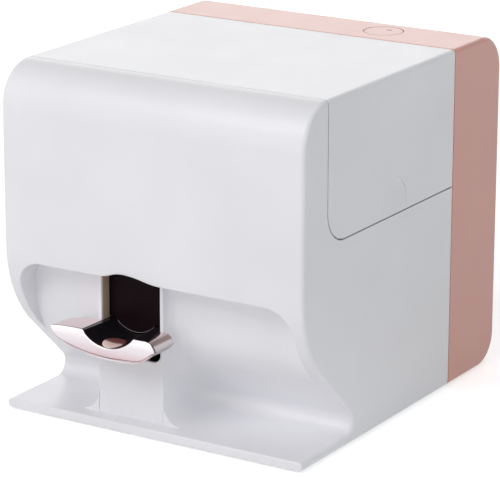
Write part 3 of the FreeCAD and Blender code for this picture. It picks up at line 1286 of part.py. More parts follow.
def make_block(side):
    """Gantry end block: it slides on the Y rod and holds both X rods."""
    x = ordered(side * BLOCK_X[0], side * BLOCK_X[1])
    block = box(x, BLOCK_Y, BLOCK_Z)
    block = round_edges(block, BLOCK_R, lambda edge: edge.BoundBox.YLength > 1.0)
    block = block.cut(rod("y", (0.0, DEPTH), (side * Y_ROD_X, Y_ROD_Z), Y_ROD_R + SLIDE_FIT))
    inner = side * BLOCK_X[0]
    socket = ordered(inner - side, inner + side * X_ROD_TUCK)
    for z in (X_ROD_TOP_Z, X_ROD_LOW_Z):
        block = block.cut(rod("x", socket, (X_ROD_Y, z), X_ROD_R + HINGE_FIT))
    slit = box(ordered(inner - side, inner + side * STRIP_TUCK), around(STRIP_Y, STRIP_SLIT), STRIP_Z)
    return block.cut(slit)


def make_left_block():
    return make_block(-1)


def make_right_block():
    return make_block(1).cut(rod("y", (0.0, DEPTH), (Y_ROD_X, SCREW_Z), NUT_R + HINGE_FIT))


def make_lead_nut():
    head = BLOCK_Y[0] - NUT_FLANGE[1]
    nut = rod("y", (head, BLOCK_Y[1]), (Y_ROD_X, SCREW_Z), NUT_R)
    flange = rod("y", (head, BLOCK_Y[0]), (Y_ROD_X, SCREW_Z), NUT_R + NUT_FLANGE[0])
    return join(nut, flange).cut(rod("y", (0.0, DEPTH), (Y_ROD_X, SCREW_Z), SCREW_R + SLIDE_FIT))


def make_beam():
    """Steel beam behind the carriage, fixed to the back of both blocks."""
    reach = BLOCK_X[0] + BEAM_LAP
    low = BLOCK_Z[0] + BEAM_MARGIN
    plate = box((-reach, reach), (BEAM_Y, BEAM_Y + SHEET), (low, BLOCK_Z[1] - BEAM_MARGIN))
    lip = box((4.0 - BLOCK_X[0], BLOCK_X[0] - 4.0), (BEAM_Y, BEAM_Y + BEAM_LIP), (low - SHEET, low))
    through = (BEAM_Y - 1.0, BEAM_Y + SHEET + 1.0)
    beam = join(plate, lip).cut(rod("y", through, (-PULLEY_X, BELT_Z), SHAFT_R + 0.5))
    return beam.cut(rod("y", through, (PULLEY_X, BELT_Z), SHAFT_R))


def make_x_rods():
    reach = BLOCK_X[0] + X_ROD_TUCK
    return Part.makeCompound([rod("x", (-reach, reach), (X_ROD_Y, z), X_ROD_R)
                              for z in (X_ROD_TOP_Z, X_ROD_LOW_Z)])


def make_x_motor():
    """Flat-sided motor behind the beam, over the left pulley."""
    front = BEAM_Y + SHEET
    back = front + X_MOTOR_LENGTH
    axis = (-PULLEY_X, BELT_Z)
    can = rod("y", (front, back), axis, X_MOTOR_R)
    can = can.common(box(around(-PULLEY_X, 2.0 * X_MOTOR_R), (front, back),
                         around(BELT_Z, 2.0 * X_MOTOR_FLAT)))
    tail = rod("y", (back, back + X_MOTOR_TAIL[1]), axis, X_MOTOR_TAIL[0])
    return join(can, tail).cut(rod("y", (front - 1.0, front + SHAFT_TUCK + 1.0), axis, SHAFT_R + SLIDE_FIT))


def pulley(x, teeth):
    """Flanged pulley; its toothed rim stays just inside the belt loop."""
    y0, y1 = BELT_Y
    rim_r = PULLEY_R - BELT_THICK - PULLEY_RIM_GAP
    ends = (y0 - PULLEY_FLANGE - PULLEY_PLAY, y1 + PULLEY_FLANGE + PULLEY_PLAY)
    rim = rod("y", ends, (x, BELT_Z), rim_r)
    for tooth in range(teeth):
        spot = polar((x, BELT_Z), rim_r + 0.15, 360.0 / teeth * tooth)
        rim = rim.cut(rod("y", (y0, y1), spot, TOOTH_GROOVE_R))
    for edge in (ends[0], ends[1] - PULLEY_FLANGE):
        rim = rim.fuse(rod("y", (edge, edge + PULLEY_FLANGE), (x, BELT_Z), PULLEY_R + PULLEY_LIP))
    return rim


def make_motor_pulley():
    shaft = rod("y", (BELT_Y[1], BEAM_Y + SHEET + SHAFT_TUCK), (-PULLEY_X, BELT_Z), SHAFT_R)
    return pulley(-PULLEY_X, PULLEY_TEETH).fuse(shaft)


def make_idler_pulley():
    return pulley(PULLEY_X, PULLEY_TEETH).cut(rod("y", (0.0, DEPTH), (PULLEY_X, BELT_Z), SHAFT_R + SLIDE_FIT))


def make_idler_shaft():
    front = BELT_Y[0] - SHAFT_REACH
    shaft = rod("y", (front, BEAM_Y + SHEET), (PULLEY_X, BELT_Z), SHAFT_R)
    cap = rod("y", (front, front + SHAFT_CAP), (PULLEY_X, BELT_Z), SHAFT_R + SHAFT_CAP_RIM)
    nut = rod("y", (BEAM_Y + SHEET, BEAM_Y + SHEET + IDLER_NUT[1]), (PULLEY_X, BELT_Z),
              SHAFT_R + IDLER_NUT[0])
    return join(shaft, cap, nut)


def belt_loop(radius):
    x = PULLEY_X
    z = BELT_Z
    return prism(
        "xz", BELT_Y,
        (-x, z + radius),
        (x, z + radius),
        arc_to((x, z), radius, 90.0, -90.0),
        (-x, z - radius),
        arc_to((-x, z), radius, 270.0, 90.0),
    )


def make_belt():
    return belt_loop(PULLEY_R).cut(belt_loop(PULLEY_R - BELT_THICK))


def make_encoder_strip():
    """Position strip stretched between the blocks; the carriage's fork reads it."""
    reach = BLOCK_X[0] + STRIP_TUCK
    return box((-reach, reach), around(STRIP_Y, STRIP_THICK), STRIP_Z)


def make_carriage():
    """Open-fronted holder for the cartridge with its bearing block and camera shelf."""
    x = CARRIAGE_X
    floor_z = CARTRIDGE_Z[0] - CARTRIDGE_FIT
    low = floor_z - CARRIAGE_WALL
    holder = box(x, (CARTRIDGE_Y[0] - 2.0, BEARING_Y[0]), (low, HOLDER_TOP_Z))
    bay = box((x[0] + CARRIAGE_WALL, x[1] - CARRIAGE_WALL), (0.0, BEARING_Y[0]), (floor_z, HEIGHT))
    snout_room = box(around(PARK_X, SNOUT_SIZE[0] + 2.0), (SNOUT_Y[0] - 3.0, SNOUT_Y[1] + 1.0),
                     (0.0, floor_z + 1.0))
    holder = holder.cut(bay).cut(snout_room)
    bearing = box(x, BEARING_Y, (low, X_ROD_TOP_Z + X_ROD_R + 3.0))
    shelf = box(SHELF_X, around(CAMERA_Y, SHELF_DEEP), SHELF_Z)
    body = join(holder, bearing, shelf, *belt_clip(), *strip_fork(), *latch_ears())
    for z in (X_ROD_TOP_Z, X_ROD_LOW_Z):
        body = body.cut(rod("x", (x[0] - 1.0, x[1] + 1.0), (X_ROD_Y, z), X_ROD_R + SLIDE_FIT))
    body = body.cut(rod("x", (x[0] - 1.0, x[1] + 1.0), (LATCH_Y, LATCH_Z), LATCH_PIN_R + HINGE_FIT))
    return body.cut(rod("z", (SHELF_Z[0] - 1.0, SHELF_Z[1] + 1.0), (CAMERA_X, CAMERA_Y), LENS_R + 0.4))


def belt_clip():
    """Two jaws above and below the belt's upper run."""
    y = (BEARING_Y[1], BELT_Y[1] + 0.6)
    run = BELT_Z + PULLEY_R
    above = box(CLIP_X, y, (run + CLIP_GAP, run + CLIP_GAP + CLIP_THICK))
    below = box(CLIP_X, y, (run - BELT_THICK - CLIP_GAP - CLIP_THICK, run - BELT_THICK - CLIP_GAP))
    return above, below


def strip_fork():
    """Sensor fork that straddles the lower edge of the encoder strip."""
    z = (STRIP_Z[0] - FORK_REACH, STRIP_Z[0] + FORK_REACH)
    bridge = box(CLIP_X, (BEARING_Y[1], STRIP_Y + FORK_HALF), (z[0], STRIP_Z[0] - 0.6))
    front = box(CLIP_X, (BEARING_Y[1], STRIP_Y - FORK_SLOT), z)
    back = box(CLIP_X, (STRIP_Y + FORK_SLOT, STRIP_Y + FORK_HALF), z)
    return bridge, front, back


def latch_ears():
    ears = []
    for x in ((CARRIAGE_X[0], CARRIAGE_X[0] + CARRIAGE_WALL), (CARRIAGE_X[1] - CARRIAGE_WALL, CARRIAGE_X[1])):
        ears.append(box(x, around(LATCH_Y, 2.0 * EAR_HALF), (HOLDER_TOP_Z, LATCH_Z + 4.0)))
        ears.append(box(x, (LATCH_Y - EAR_HALF, BEARING_Y[0] + 1.0),
                        (HOLDER_TOP_Z - 12.0, HOLDER_TOP_Z + 1.0)))
    return ears


def make_cartridge():
    body = box(around(PARK_X, CARTRIDGE_SIZE[0]), CARTRIDGE_Y, CARTRIDGE_Z)
    top = CARTRIDGE_Z[1] - 0.01
    body = round_edges(body, CARTRIDGE_R, lambda edge: is_upright(edge) or edge.BoundBox.ZMin > top)
    snout = box(around(PARK_X, SNOUT_SIZE[0]), (SNOUT_Y[0] + 2.0, SNOUT_Y[1]),
                (NOZZLE_Z + NOZZLE_THICK, CARTRIDGE_Z[0] + 4.0))
    grip = box(around(PARK_X, GRIP_SIZE[0]), (CARTRIDGE_Y[0] - 1.2, CARTRIDGE_Y[0] + 3.0),
               (CARTRIDGE_Z[1] - 6.0 - GRIP_SIZE[1], CARTRIDGE_Z[1] - 6.0))
    return join(body, snout, grip)


def make_nozzle_plate():
    return box(around(PARK_X, SNOUT_SIZE[0]), (SNOUT_Y[0] + 2.0, SNOUT_Y[1]),
               (NOZZLE_Z, NOZZLE_Z + NOZZLE_THICK))


def make_latch():
    """Flip-up bar that holds the cartridge down, hinged behind it."""
    side = CARRIAGE_WALL + LATCH_SIDE_GAP
    inner = (CARRIAGE_X[0] + side, CARRIAGE_X[1] - side)
    barrel = rod("x", inner, (LATCH_Y, LATCH_Z), LATCH_PIN_R + 2.0)
    rest_z = CARTRIDGE_Z[1] + CARTRIDGE_FIT
    top = prism(
        "yz", inner,
        (LATCH_Y - 3.2, LATCH_Z + 1.6),
        (LATCH_Y - 3.2, LATCH_Z - 2.0),
        (LATCH_Y - 14.0, rest_z),
        (CARTRIDGE_Y[0] - 1.6, rest_z),
        (CARTRIDGE_Y[0] - 4.0, rest_z - 3.0),
        (CARTRIDGE_Y[0] - 4.0, rest_z + LATCH_THICK),
        (LATCH_Y - 14.5, rest_z + LATCH_THICK),
        (LATCH_Y - 5.0, LATCH_Z + 2.4),
    )
    latch = join(barrel, top)
    return latch.cut(rod("x", inner, (LATCH_Y, LATCH_Z), LATCH_PIN_R + HINGE_FIT))


def make_latch_pin():
    return rod("x", CARRIAGE_X, (LATCH_Y, LATCH_Z), LATCH_PIN_R)


def make_camera():
    body = box(around(CAMERA_X, CAMERA_SIZE[0]), around(CAMERA_Y, CAMERA_SIZE[1]),
               (SHELF_Z[1], SHELF_Z[1] + CAMERA_SIZE[2]))
    return body.cut(rod("z", (SHELF_Z[1] - 1.0, LENS_TOP_Z + 0.5), (CAMERA_X, CAMERA_Y), LENS_R + 0.02))


def make_camera_lens():
    """Barrel with a domed hollow at its lower end."""
    low = SHELF_Z[0] + 1.0
    lens = rod("z", (low, LENS_TOP_Z), (CAMERA_X, CAMERA_Y), LENS_R)
    return lens.cut(Part.makeSphere(LENS_DISH_R, V(CAMERA_X, CAMERA_Y, low + 1.4 - LENS_DISH_R)))


def make_lamp_board():
    """Lamp ring under the camera shelf, lit side down."""
    top = SHELF_Z[0]
    low = top - LAMP_BOARD_THICK
    plate = box(SHELF_X, around(CAMERA_Y, SHELF_DEEP), (low, top))
    plate = plate.cut(rod("z", (low - 1.0, top + 1.0), (CAMERA_X, CAMERA_Y), LENS_R + 1.2))
    lamps = []
    for spot in range(LAMP_COUNT):
        x, y = polar((CAMERA_X, CAMERA_Y), LAMP_RING_R, 360.0 / LAMP_COUNT * (spot + 0.5))
        lamps.append(box(around(x, LAMP_SIZE), around(y, LAMP_SIZE), (low - 1.0, low)))
    return join(plate, *lamps)


def make_cap_station():
    """Tower under the parked nozzles: cap seat on top, wiper holder at its left."""
    front, rear = CAP_Y
    post = box(around(PARK_X, CAP_WIDE), CAP_Y, (BASE_TOP_Z, CAP_TOWER_TOP))
    hollow = box(around(PARK_X, CAP_WIDE - 2.0 * CAP_WALL), (front + CAP_WALL, rear - CAP_WALL),
                 (BASE_TOP_Z + CAP_WALL, CAP_TOWER_TOP - CAP_WALL))
    door = box(around(PARK_X, CAP_WIDE - 10.0), (front - 4.0, front + 6.0),
               (BASE_TOP_Z + 6.0, CAP_TOWER_TOP - 12.0))
    holder = box((WIPER_X - 4.5, PARK_X - CAP_WIDE / 2.0 + 1.0), (front + 4.0, rear - 4.0),
                 (CAP_TOWER_TOP - 9.0, CAP_TOWER_TOP))
    return cut(join(post, holder), hollow, door)


def make_cap_seal():
    """Rubber tray that closes on the nozzles."""
    front, rear = CAP_Y
    top = NOZZLE_Z - CAP_GAP
    lip = box(around(PARK_X, SEAL_WIDE), (front + 2.0, rear - 1.0), (CAP_TOWER_TOP, top))
    well = box(around(PARK_X, SEAL_WIDE - 2.0 * SEAL_WALL), (front + 4.0, rear - 3.0),
               (CAP_TOWER_TOP + SEAL_WALL, top + 1.0))
    return round_edges(lip, SEAL_R, is_upright).cut(well)


def make_wiper():
    return box(around(WIPER_X, WIPER_THICK), (CAP_Y[0] + 5.0, CAP_Y[1] - 5.0),
               (CAP_TOWER_TOP, NOZZLE_Z - CAP_GAP))


def make_waste_pad():
    x = (PARK_X - WASTE_PAD[0], CHASSIS_X - FLANGE - 3.0)
    y = (CAP_Y[1] + 4.0, CAP_Y[1] + 4.0 + WASTE_PAD[1])
    return box(x, y, (BASE_TOP_Z, BASE_TOP_Z + WASTE_PAD[2]))


# ------------------------------------------------------------------ electronics and button
def make_main_board():
    board = box(around(BOARD_X, BOARD_SIZE[0]), (BOARD_Y, BOARD_BACK),
                (BOARD_LOW_Z, BOARD_LOW_Z + BOARD_SIZE[1]))
    for spot in BOARD_POSTS:
        board = board.cut(rod("y", (BOARD_Y - 1.0, BOARD_BACK + 1.0), spot, BOARD_SCREW_R + 0.15))
    return board


def chip(across, up, size):
    """Package on the board's rear face, placed by shares of the board's width and height."""
    wide, tall, high = size
    spot = (BOARD_LEFT + across * BOARD_SIZE[0], BOARD_LOW_Z + up * BOARD_SIZE[1])
    return box(around(spot[0], wide), (BOARD_BACK, BOARD_BACK + high), around(spot[1], tall))


def make_board_parts():
    """Processor, memory, driver chips, sockets and capacitors on the board's rear face."""
    packages = [
        chip(0.48, 0.59, PROCESSOR),
        chip(0.65, 0.61, MEMORY),
        chip(0.31, 0.37, REGULATOR),
        chip(0.45, 0.28, DRIVER),
        chip(0.80, 0.28, DRIVER),
    ]
    for across, size in zip((0.23, 0.54, 0.82), SOCKETS):
        packages.append(chip(across, SOCKET_ROW, size))
    for across in (0.26, 0.37, 0.57):
        spot = (BOARD_LEFT + across * BOARD_SIZE[0], BOARD_LOW_Z + CAPACITOR_ROW * BOARD_SIZE[1])
        packages.append(rod("y", (BOARD_BACK, BOARD_BACK + CAPACITOR[1]), spot, CAPACITOR[0]))
    return Part.makeCompound(packages)


def make_wireless_module():
    """Small radio board with its shield can."""
    return join(chip(0.86, 0.57, RADIO_BOARD), chip(0.86, 0.54, RADIO_CAN))


def make_board_screws():
    screws = []
    for spot in BOARD_POSTS:
        head = rod("y", (BOARD_BACK, BOARD_BACK + BOARD_SCREW_HEAD[1]), spot, BOARD_SCREW_HEAD[0])
        shank = rod("y", (BOARD_BACK - BOARD_SCREW_LENGTH, BOARD_BACK), spot, BOARD_SCREW_R)
        screws.append(join(head, shank))
    return Part.makeCompound(screws)


def make_dc_jack():
    """Barrel socket on the board; its nose reaches into the hole in the rear cover."""
    shoulder = DEPTH - WALL - 1.5
    axis = (JACK_X, JACK_Z)
    block = box(around(JACK_X, JACK_BLOCK), (BOARD_BACK, shoulder), around(JACK_Z, JACK_BLOCK))
    nose = rod("y", (shoulder, DEPTH - JACK_SET_BACK), axis, JACK_R)
    jack = join(block, nose).cut(rod("y", (BOARD_BACK + 2.0, DEPTH), axis, JACK_BORE_R))
    return join(jack, rod("y", (BOARD_BACK + 1.0, DEPTH - 3.0), axis, JACK_PIN_R))


def make_button():
    axis = (BUTTON_X, BUTTON_Y)
    cap = rod("z", (HEIGHT - BUTTON_CAP, HEIGHT), axis, BUTTON_R)
    cap = round_edges(cap, BUTTON_EDGE_R, lambda edge: edge.BoundBox.ZMin > HEIGHT - 0.01)
    stem_end = SWITCH_BOARD_Z[1] + SWITCH_HEIGHT + BUTTON_TRAVEL + BUTTON_STEM_GAP
    stem = rod("z", (stem_end, HEIGHT - BUTTON_CAP), axis, BUTTON_STEM_R)
    keeper = rod("z", (BUTTON_FLOOR_Z - 1.5, BUTTON_FLOOR_Z - 0.2), axis, BUTTON_STEM_R + 1.0)
    pipe_room = box(around(*PIPE_X), around(*PIPE_Y), (HEIGHT - PIPE_DEPTH, HEIGHT + 1.0))
    return join(cap, stem, keeper).cut(pipe_room)


def make_light_pipe():
    return box(around(*PIPE_X), around(*PIPE_Y), (HEIGHT - PIPE_DEPTH, HEIGHT - 0.05))


def make_button_spring():
    return coil((BUTTON_X, BUTTON_Y), BUTTON_FLOOR_Z + BUTTON_SEAT, HEIGHT - BUTTON_CAP,
                BUTTON_SPRING_R, BUTTON_WIRE_R, BUTTON_SPRING_TURNS)


def make_switch_board():
    return box(around(BUTTON_X, SWITCH_BOARD[0]), around(BUTTON_Y, SWITCH_BOARD[1]), SWITCH_BOARD_Z)


def make_button_switch():
    z = SWITCH_BOARD_Z[1]
    base = box(around(BUTTON_X, SWITCH_SIZE), around(BUTTON_Y, SWITCH_SIZE), (z, z + 0.9))
    return join(base, rod("z", (z, z + SWITCH_HEIGHT), (BUTTON_X, BUTTON_Y), SWITCH_SIZE / 3.5))


# ------------------------------------------------------------------ export
def main():
    os.makedirs("parts", exist_ok=True)
    block = body_block()
    shell_ = shell(block)
    nodes = {
        "front_housing": make_front_housing(shell_, block),
        "lid": make_lid(shell_, block),
        "rear_cover": make_rear_cover(shell_, block),
        "base_plate": make_base_plate(),
        "rubber_feet": make_rubber_feet(),
        "base_screws": make_base_screws(),
        "chassis_screws": make_chassis_screws(),
        "lid_hinge_pins": make_hinge_pins(),
        "lid_magnet": make_lid_magnet(),
        "housing_magnet": make_housing_magnet(),
        "inner_tray": make_inner_tray(),
        "lever_bezel": make_lever_bezel(),
        "lever_body": make_lever_body(),
        "lever_screws": make_lever_screws(),
        "finger_cradle": make_cradle(),
        "finger_pad": make_pad(),
        "cradle_bracket": make_bracket(),
        "finger_frame": make_finger_frame(),
        "guide_rods": make_guide_rods(),
        "lift_springs": make_lift_springs(),
        "finger_door": make_door(),
        "door_skirt": make_door_skirt(),
        "side_frames": make_side_frames(),
        "rear_frame": make_rear_frame(),
        "y_guide_rods": make_y_rods(),
        "lead_screw": make_lead_screw(),
        "y_motor": make_y_motor(),
        "left_block": make_left_block(),
        "right_block": make_right_block(),
        "lead_nut": make_lead_nut(),
        "gantry_beam": make_beam(),
        "x_guide_rods": make_x_rods(),
        "x_motor": make_x_motor(),
        "motor_pulley": make_motor_pulley(),
        "idler_pulley": make_idler_pulley(),
        "idler_shaft": make_idler_shaft(),
        "drive_belt": make_belt(),
        "encoder_strip": make_encoder_strip(),
        "carriage": make_carriage(),
        "ink_cartridge": make_cartridge(),
        "nozzle_plate": make_nozzle_plate(),
        "cartridge_latch": make_latch(),
        "latch_pin": make_latch_pin(),
        "camera_module": make_camera(),
        "camera_lens": make_camera_lens(),
        "lamp_board": make_lamp_board(),
        "cap_station": make_cap_station(),
        "cap_seal": make_cap_seal(),
        "wiper_blade": make_wiper(),
        "waste_ink_pad": make_waste_pad(),
        "main_board": make_main_board(),
        "board_components": make_board_parts(),
        "wireless_module": make_wireless_module(),
        "board_screws": make_board_screws(),
        "dc_jack": make_dc_jack(),
        "power_button": make_button(),
        "button_light_pipe": make_light_pipe(),
        "button_spring": make_button_spring(),
        "switch_board": make_switch_board(),
        "button_switch": make_button_switch(),
    }
    for name, shape in nodes.items():
        placed = shape.copy()
        placed.translate(V(0.0, FRONT_Y, 0.0))
        state = "valid" if placed.isValid() else "INVALID"
        print(f"{name:20s} solids {len(placed.Solids)} volume {placed.Volume / 1000.0:9.3f} cm3 {state}")
        placed.exportStep(f"parts/{name}.step")


main()
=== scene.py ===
"""Looks of a desktop nail art printer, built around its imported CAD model."""
import json
import math

import bmesh
import bpy
from mathutils import Matrix, Vector


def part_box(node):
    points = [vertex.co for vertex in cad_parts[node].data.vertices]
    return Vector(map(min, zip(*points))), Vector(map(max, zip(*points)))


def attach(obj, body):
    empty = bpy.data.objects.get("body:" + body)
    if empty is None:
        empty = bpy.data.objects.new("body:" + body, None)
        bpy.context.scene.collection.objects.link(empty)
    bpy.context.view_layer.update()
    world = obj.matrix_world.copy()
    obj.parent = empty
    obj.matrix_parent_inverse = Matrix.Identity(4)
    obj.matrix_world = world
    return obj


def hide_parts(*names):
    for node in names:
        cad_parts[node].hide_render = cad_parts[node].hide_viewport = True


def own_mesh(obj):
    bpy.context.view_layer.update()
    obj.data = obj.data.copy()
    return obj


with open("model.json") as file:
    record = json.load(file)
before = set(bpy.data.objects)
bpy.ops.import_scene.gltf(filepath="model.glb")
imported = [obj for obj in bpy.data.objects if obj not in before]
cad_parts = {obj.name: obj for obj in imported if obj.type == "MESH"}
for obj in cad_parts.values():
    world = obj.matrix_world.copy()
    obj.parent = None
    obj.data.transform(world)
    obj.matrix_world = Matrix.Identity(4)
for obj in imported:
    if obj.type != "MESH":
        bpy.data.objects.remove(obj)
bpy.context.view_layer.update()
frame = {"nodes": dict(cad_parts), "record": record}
NODES = frame["nodes"]
TURN = 2.0 * math.pi
NEARLY_ALONG = 0.1                       # sine of the angle under which two directions count as one

# ------------------------------------------------------------------ view of the object
IMAGE_SIZE = (500, 477)                  # pixels
VIEW_AZIMUTH = 31.87                     # degrees
VIEW_ELEVATION = 16.62
VIEW_ROLL = 0.11
VIEW_DISTANCE = 1.6134                   # metres from the aim point
VIEW_AIM = Vector((0.0, 0.006, 0.1))
VIEW_OFFSET = (-0.0038, -0.0112)         # sideways and upwards from the aim point
FOCAL_PX = 2822.9
CENTRE_PX = (250.3, 237.9)
SENSOR = 36.0                            # millimetres
CLIP_END = 20.0                          # metres

# ------------------------------------------------------------------ colours, linear
WHITE = (0.865, 0.862, 0.895)
PINK = (0.625, 0.262, 0.203)
# painted warm shade for the opening's white side walls; painted black shadow for its lower inside
PAINTED_WARM_SHADE = (0.68, 0.49, 0.36)
PAINTED_SHADOW_BLACK = (0.008, 0.007, 0.007)
# painted highlight on the edge of the door's skirt
BEAD_HIGHLIGHT_TONE = (0.40, 0.32, 0.32)
# painted highlight of the white panels' rounded edge at the pink cover's joint
SEAM_HIGHLIGHT_TONE = (0.84, 0.78, 0.76)
RING_TONE = (0.16, 0.055, 0.05)
# rose plating with painted reflections and shade by slope, from faces that look down (-1) over upright ones
# (0) to those that look up (1); its dark bands are painted shade in the crease above the chin and a painted
# dark reflection on the wing
PLATING_PAINTED_BY_SLOPE = [
    (-1.0, (0.36, 0.25, 0.25)), (-0.70, (0.38, 0.26, 0.26)), (-0.54, (0.64, 0.50, 0.51)),
    (-0.50, (0.62, 0.48, 0.50)), (-0.45, (0.18, 0.11, 0.11)), (-0.28, (0.22, 0.14, 0.15)),
    (-0.23, (0.55, 0.42, 0.44)), (-0.10, (0.63, 0.53, 0.56)), (0.02, (0.66, 0.61, 0.64)),
    (0.28, (0.67, 0.63, 0.64)), (0.58, (0.80, 0.71, 0.71)), (0.70, (0.36, 0.27, 0.24)),
    (0.88, (0.38, 0.29, 0.26)), (0.96, (0.86, 0.71, 0.71)), (1.0, (0.88, 0.73, 0.73)),
]
# gel pad from its front lip (0) to its rear end (1): painted light on its front, painted shade in wine red
# towards its rear
GEL_PAINTED_LIGHT_AND_SHADE = [(0.0, (1.0, 0.78, 0.72)), (0.40, (1.0, 0.72, 0.66)), (0.49, (0.24, 0.08, 0.085)),
       (1.0, (0.15, 0.04, 0.045))]

# ------------------------------------------------------------------ surfaces
# noises: scale per metre, detail
CLOUD = (14.0, 2.0)                      # slow drift of a plastic's colour
PATCHES = (60.0, 4.0)                    # drift of its gloss
DUST = (220.0, 5.0)                      # dust on rubber
GEL_PATCHES = (160.0, 4.0)
GEL_GRAIN = (900.0, 3.0)
POLISH = (700.0, 3.0)                    # hairlines in the plating
FLOOR_SPECK = (30.0, 2.0)
MOULD_DETAIL, MARK_DETAIL, RUBBER_DETAIL = 2.0, 4.0, 3.0
POLISH_STRETCH = (0.08, 1.0, 1.0)
# the stretch of a noise over which a value runs
MIDDLE = (0.3, 0.7)
WIDE_MIDDLE = (0.25, 0.75)
DUST_TONE_SPAN = (0.35, 0.8)
DUST_GLOSS_SPAN = (0.3, 0.8)
# what a value is multiplied by at either end of its noise
PATCH_GLOSS = (0.92, 1.08)
MARK_TONE = (0.90, 1.06)
MARK_GLOSS = (0.8, 1.25)
POLISH_GLOSS = (0.85, 1.2)
SPECK_TONE = (0.995, 1.0)
DUST_TONE = (1.0, 1.5)
DUST_ROUGHER = 0.15                      # added where dust lies
GEL_ROUGH = (0.30, 0.46)
# bumps: depth in metres, strength
MOULD_BUMP = (0.00002, 0.35)
MARK_BUMP = (0.00001, 0.4)
POLISH_BUMP = (0.000004, 0.3)
GEL_BUMP = (0.00002, 0.4)
RUBBER_BUMP = (0.00004, 0.5)
SHADE_SHEET_BUMP = (0.00008, 0.35)

# ------------------------------------------------------------------ sizes, millimetres
FRONT_Y = -105.0                         # front plane; depths are counted from here
# finger lever
LEVER_X = -20.0                          # middle of the finger groove
LEVER_TOP = 61.2
LEVER_DROP = 14.8
LEVER_ENDS = (LEVER_X - 37.6, LEVER_X + 30.8)
LEVER_FRONT = -12.0
ARC_STEPS = 24                           # along each arc of its outline
UPRIGHT = 1e-9                           # a stretch of it narrower than this stands upright
LEVER_STEPS = 150
LEVER_CROWDING = 0.35                    # share of the steps' spacing that closes up towards its ends
LEVER_EDGE = 0.02                        # least height of its front
# its outline: shares of its width from the left or the right end, and of its drop below its top
UPPER_LEFT = ((0.0, 0.07), (0.17, 0.005), (0.28, 0.0))
UPPER_RIGHT = ((0.12, 0.0), (0.026, 0.13), (0.0, 0.36))
LOWER = ((0.0, 0.36), (0.065, 0.66), (0.157, 0.9), (0.39, 1.0), (0.61, 0.96), (0.77, 0.8),
         (0.9, 0.63), (0.967, 0.43), (1.0, 0.17))
BEZEL_BACK = -9.8
BEZEL_CROWN = 1.1
CROWN_R = ((LEVER_DROP / 2.0) ** 2 + BEZEL_CROWN ** 2) / (2.0 * BEZEL_CROWN)
BEZEL_GAP = 1.05                         # dark joint between the bezel and the lever's body
BEZEL_EDGE = 0.05                        # least thickness of the bezel
BEZEL_ROWS = (0.0, 0.012, 0.03, 0.055, 0.08, 0.11, 0.14, 0.19, 0.26, 0.34, 0.42, 0.5, 0.58, 0.66,
              0.74, 0.81, 0.87, 0.92, 0.95, 0.972, 0.988, 1.0)
FULL_RIM_HEIGHT = 6.0                    # where the bezel is lower, its rim and chin shrink
CHIN = 1.35                              # lower band of the bezel, turned under
CHIN_SLOPE = 0.62
RIM_R = 0.7
JOINT_SINK = 0.12                        # filler of the joint inside the lever's outline
JOINT_LAP = 0.02                         # and into the bezel's back
# finger groove: depth, radius and height of its axis at either end
GROOVE_MOUTH = (-13.0, 22.24, 75.54)
GROOVE_NECK = (16.5, 18.15, 72.15)
# gel pad
PAD_CENTRE = (LEVER_X - 0.8, -3.2)       # x and depth
PAD_HALF = (6.0, 7.9)
PAD_LIFT = (0.06, 0.62)                  # over the groove at its rim and in its middle
PAD_FLOOR = 0.02                         # its underside over the groove
PAD_RINGS, PAD_SPOKES = 12, 56
PAD_SHOULDER = 4                         # the higher, the flatter its middle
# finger opening
SLOT_X = (-38.0, 0.5)
SLOT_Z = (42.0, 89.6)
SLOT_R = 4.5
SLOT_CORNER_STEPS = 8
SHADE_SHEET_Y = (10.7, 33.5)                   # depth of the sheets that paint shade on the opening's walls
SHADE_SHEET_SPLIT_Z = 60.0                     # painted warm shade above, painted black shadow below, where the cradle hides the joint
SHADE_SHEET_OFF = 0.02                         # clear of the wall
SHADE_SHEET_THICK = 0.22
LOWER_SHADE_SHEET_THICK = 0.06                 # the cradle passes close to it at the end of its travel
SHADE_SHEET_STEPS = 4
# painted highlight along the edge of the door's soft skirt
DOOR_FACE = 16.5
SKIRT_GAP = 0.5
BEAD_INSET = 0.2                         # inside the skirt's edge
BEAD_PROUD = 0.03                        # ahead of the skirt's face
BEAD_TOP_Z = 61.3
BEAD_SHARE = 0.86                        # of the arc below that height
BEAD_STEPS = 48
BEAD_R, BEAD_SIDES = 0.11, 10
# painted highlight in the joint ahead of the rear cover
SIDE_X = 97.0
BODY_TOP = 200.0
EDGE_R = 2.6
EDGE_STEPS = 6
SIDE_STOPS_Z = (4.0, 60.0, 120.0)
SEAM_Y = (164.72, 165.28)                # depth of the strip in it
SEAM_SINK = 0.3
SEAM_STRIP = 1.2
# power button
BUTTON = (39.0, 186.0, 11.5)             # x, depth, radius
BUTTON_TOP = 200.0
RING_OUT = 0.17                          # ring's centre line outside the button
RING_SINK = 0.28
RING_R, RING_SIDES = 0.15, 8
RING_STEPS = 96
# springs: coil radius, wire radius and turns
LIFT_SPRING = (3.8, 0.5, 7)
BUTTON_SPRING = (6.4, 0.4, 4)
COIL_STEPS = 28                          # per turn
COIL_CROWDING = 0.5                      # share of the pitch that closes up towards its ends
WIRE_SIDES = 8
# rounding of sharp CAD edges
SOFT_EDGES = {
    0.35: ("lever_body",),
    0.4: ("carriage", "ink_cartridge", "cartridge_latch", "left_block", "right_block", "cap_station",
          "camera_module", "inner_tray"),
    0.25: ("side_frames", "rear_frame", "gantry_beam", "finger_frame", "cradle_bracket", "base_plate",
           "board_components", "dc_jack", "wireless_module"),
}
SOFT_ANGLE = 38.0                        # degrees, above which an edge is rounded
SOFT_SEGMENTS = 2
# degrees, above which an edge of our own pieces stays sharp
CREASE, BEZEL_CREASE, THREAD_CREASE = 40.0, 50.0, 30.0

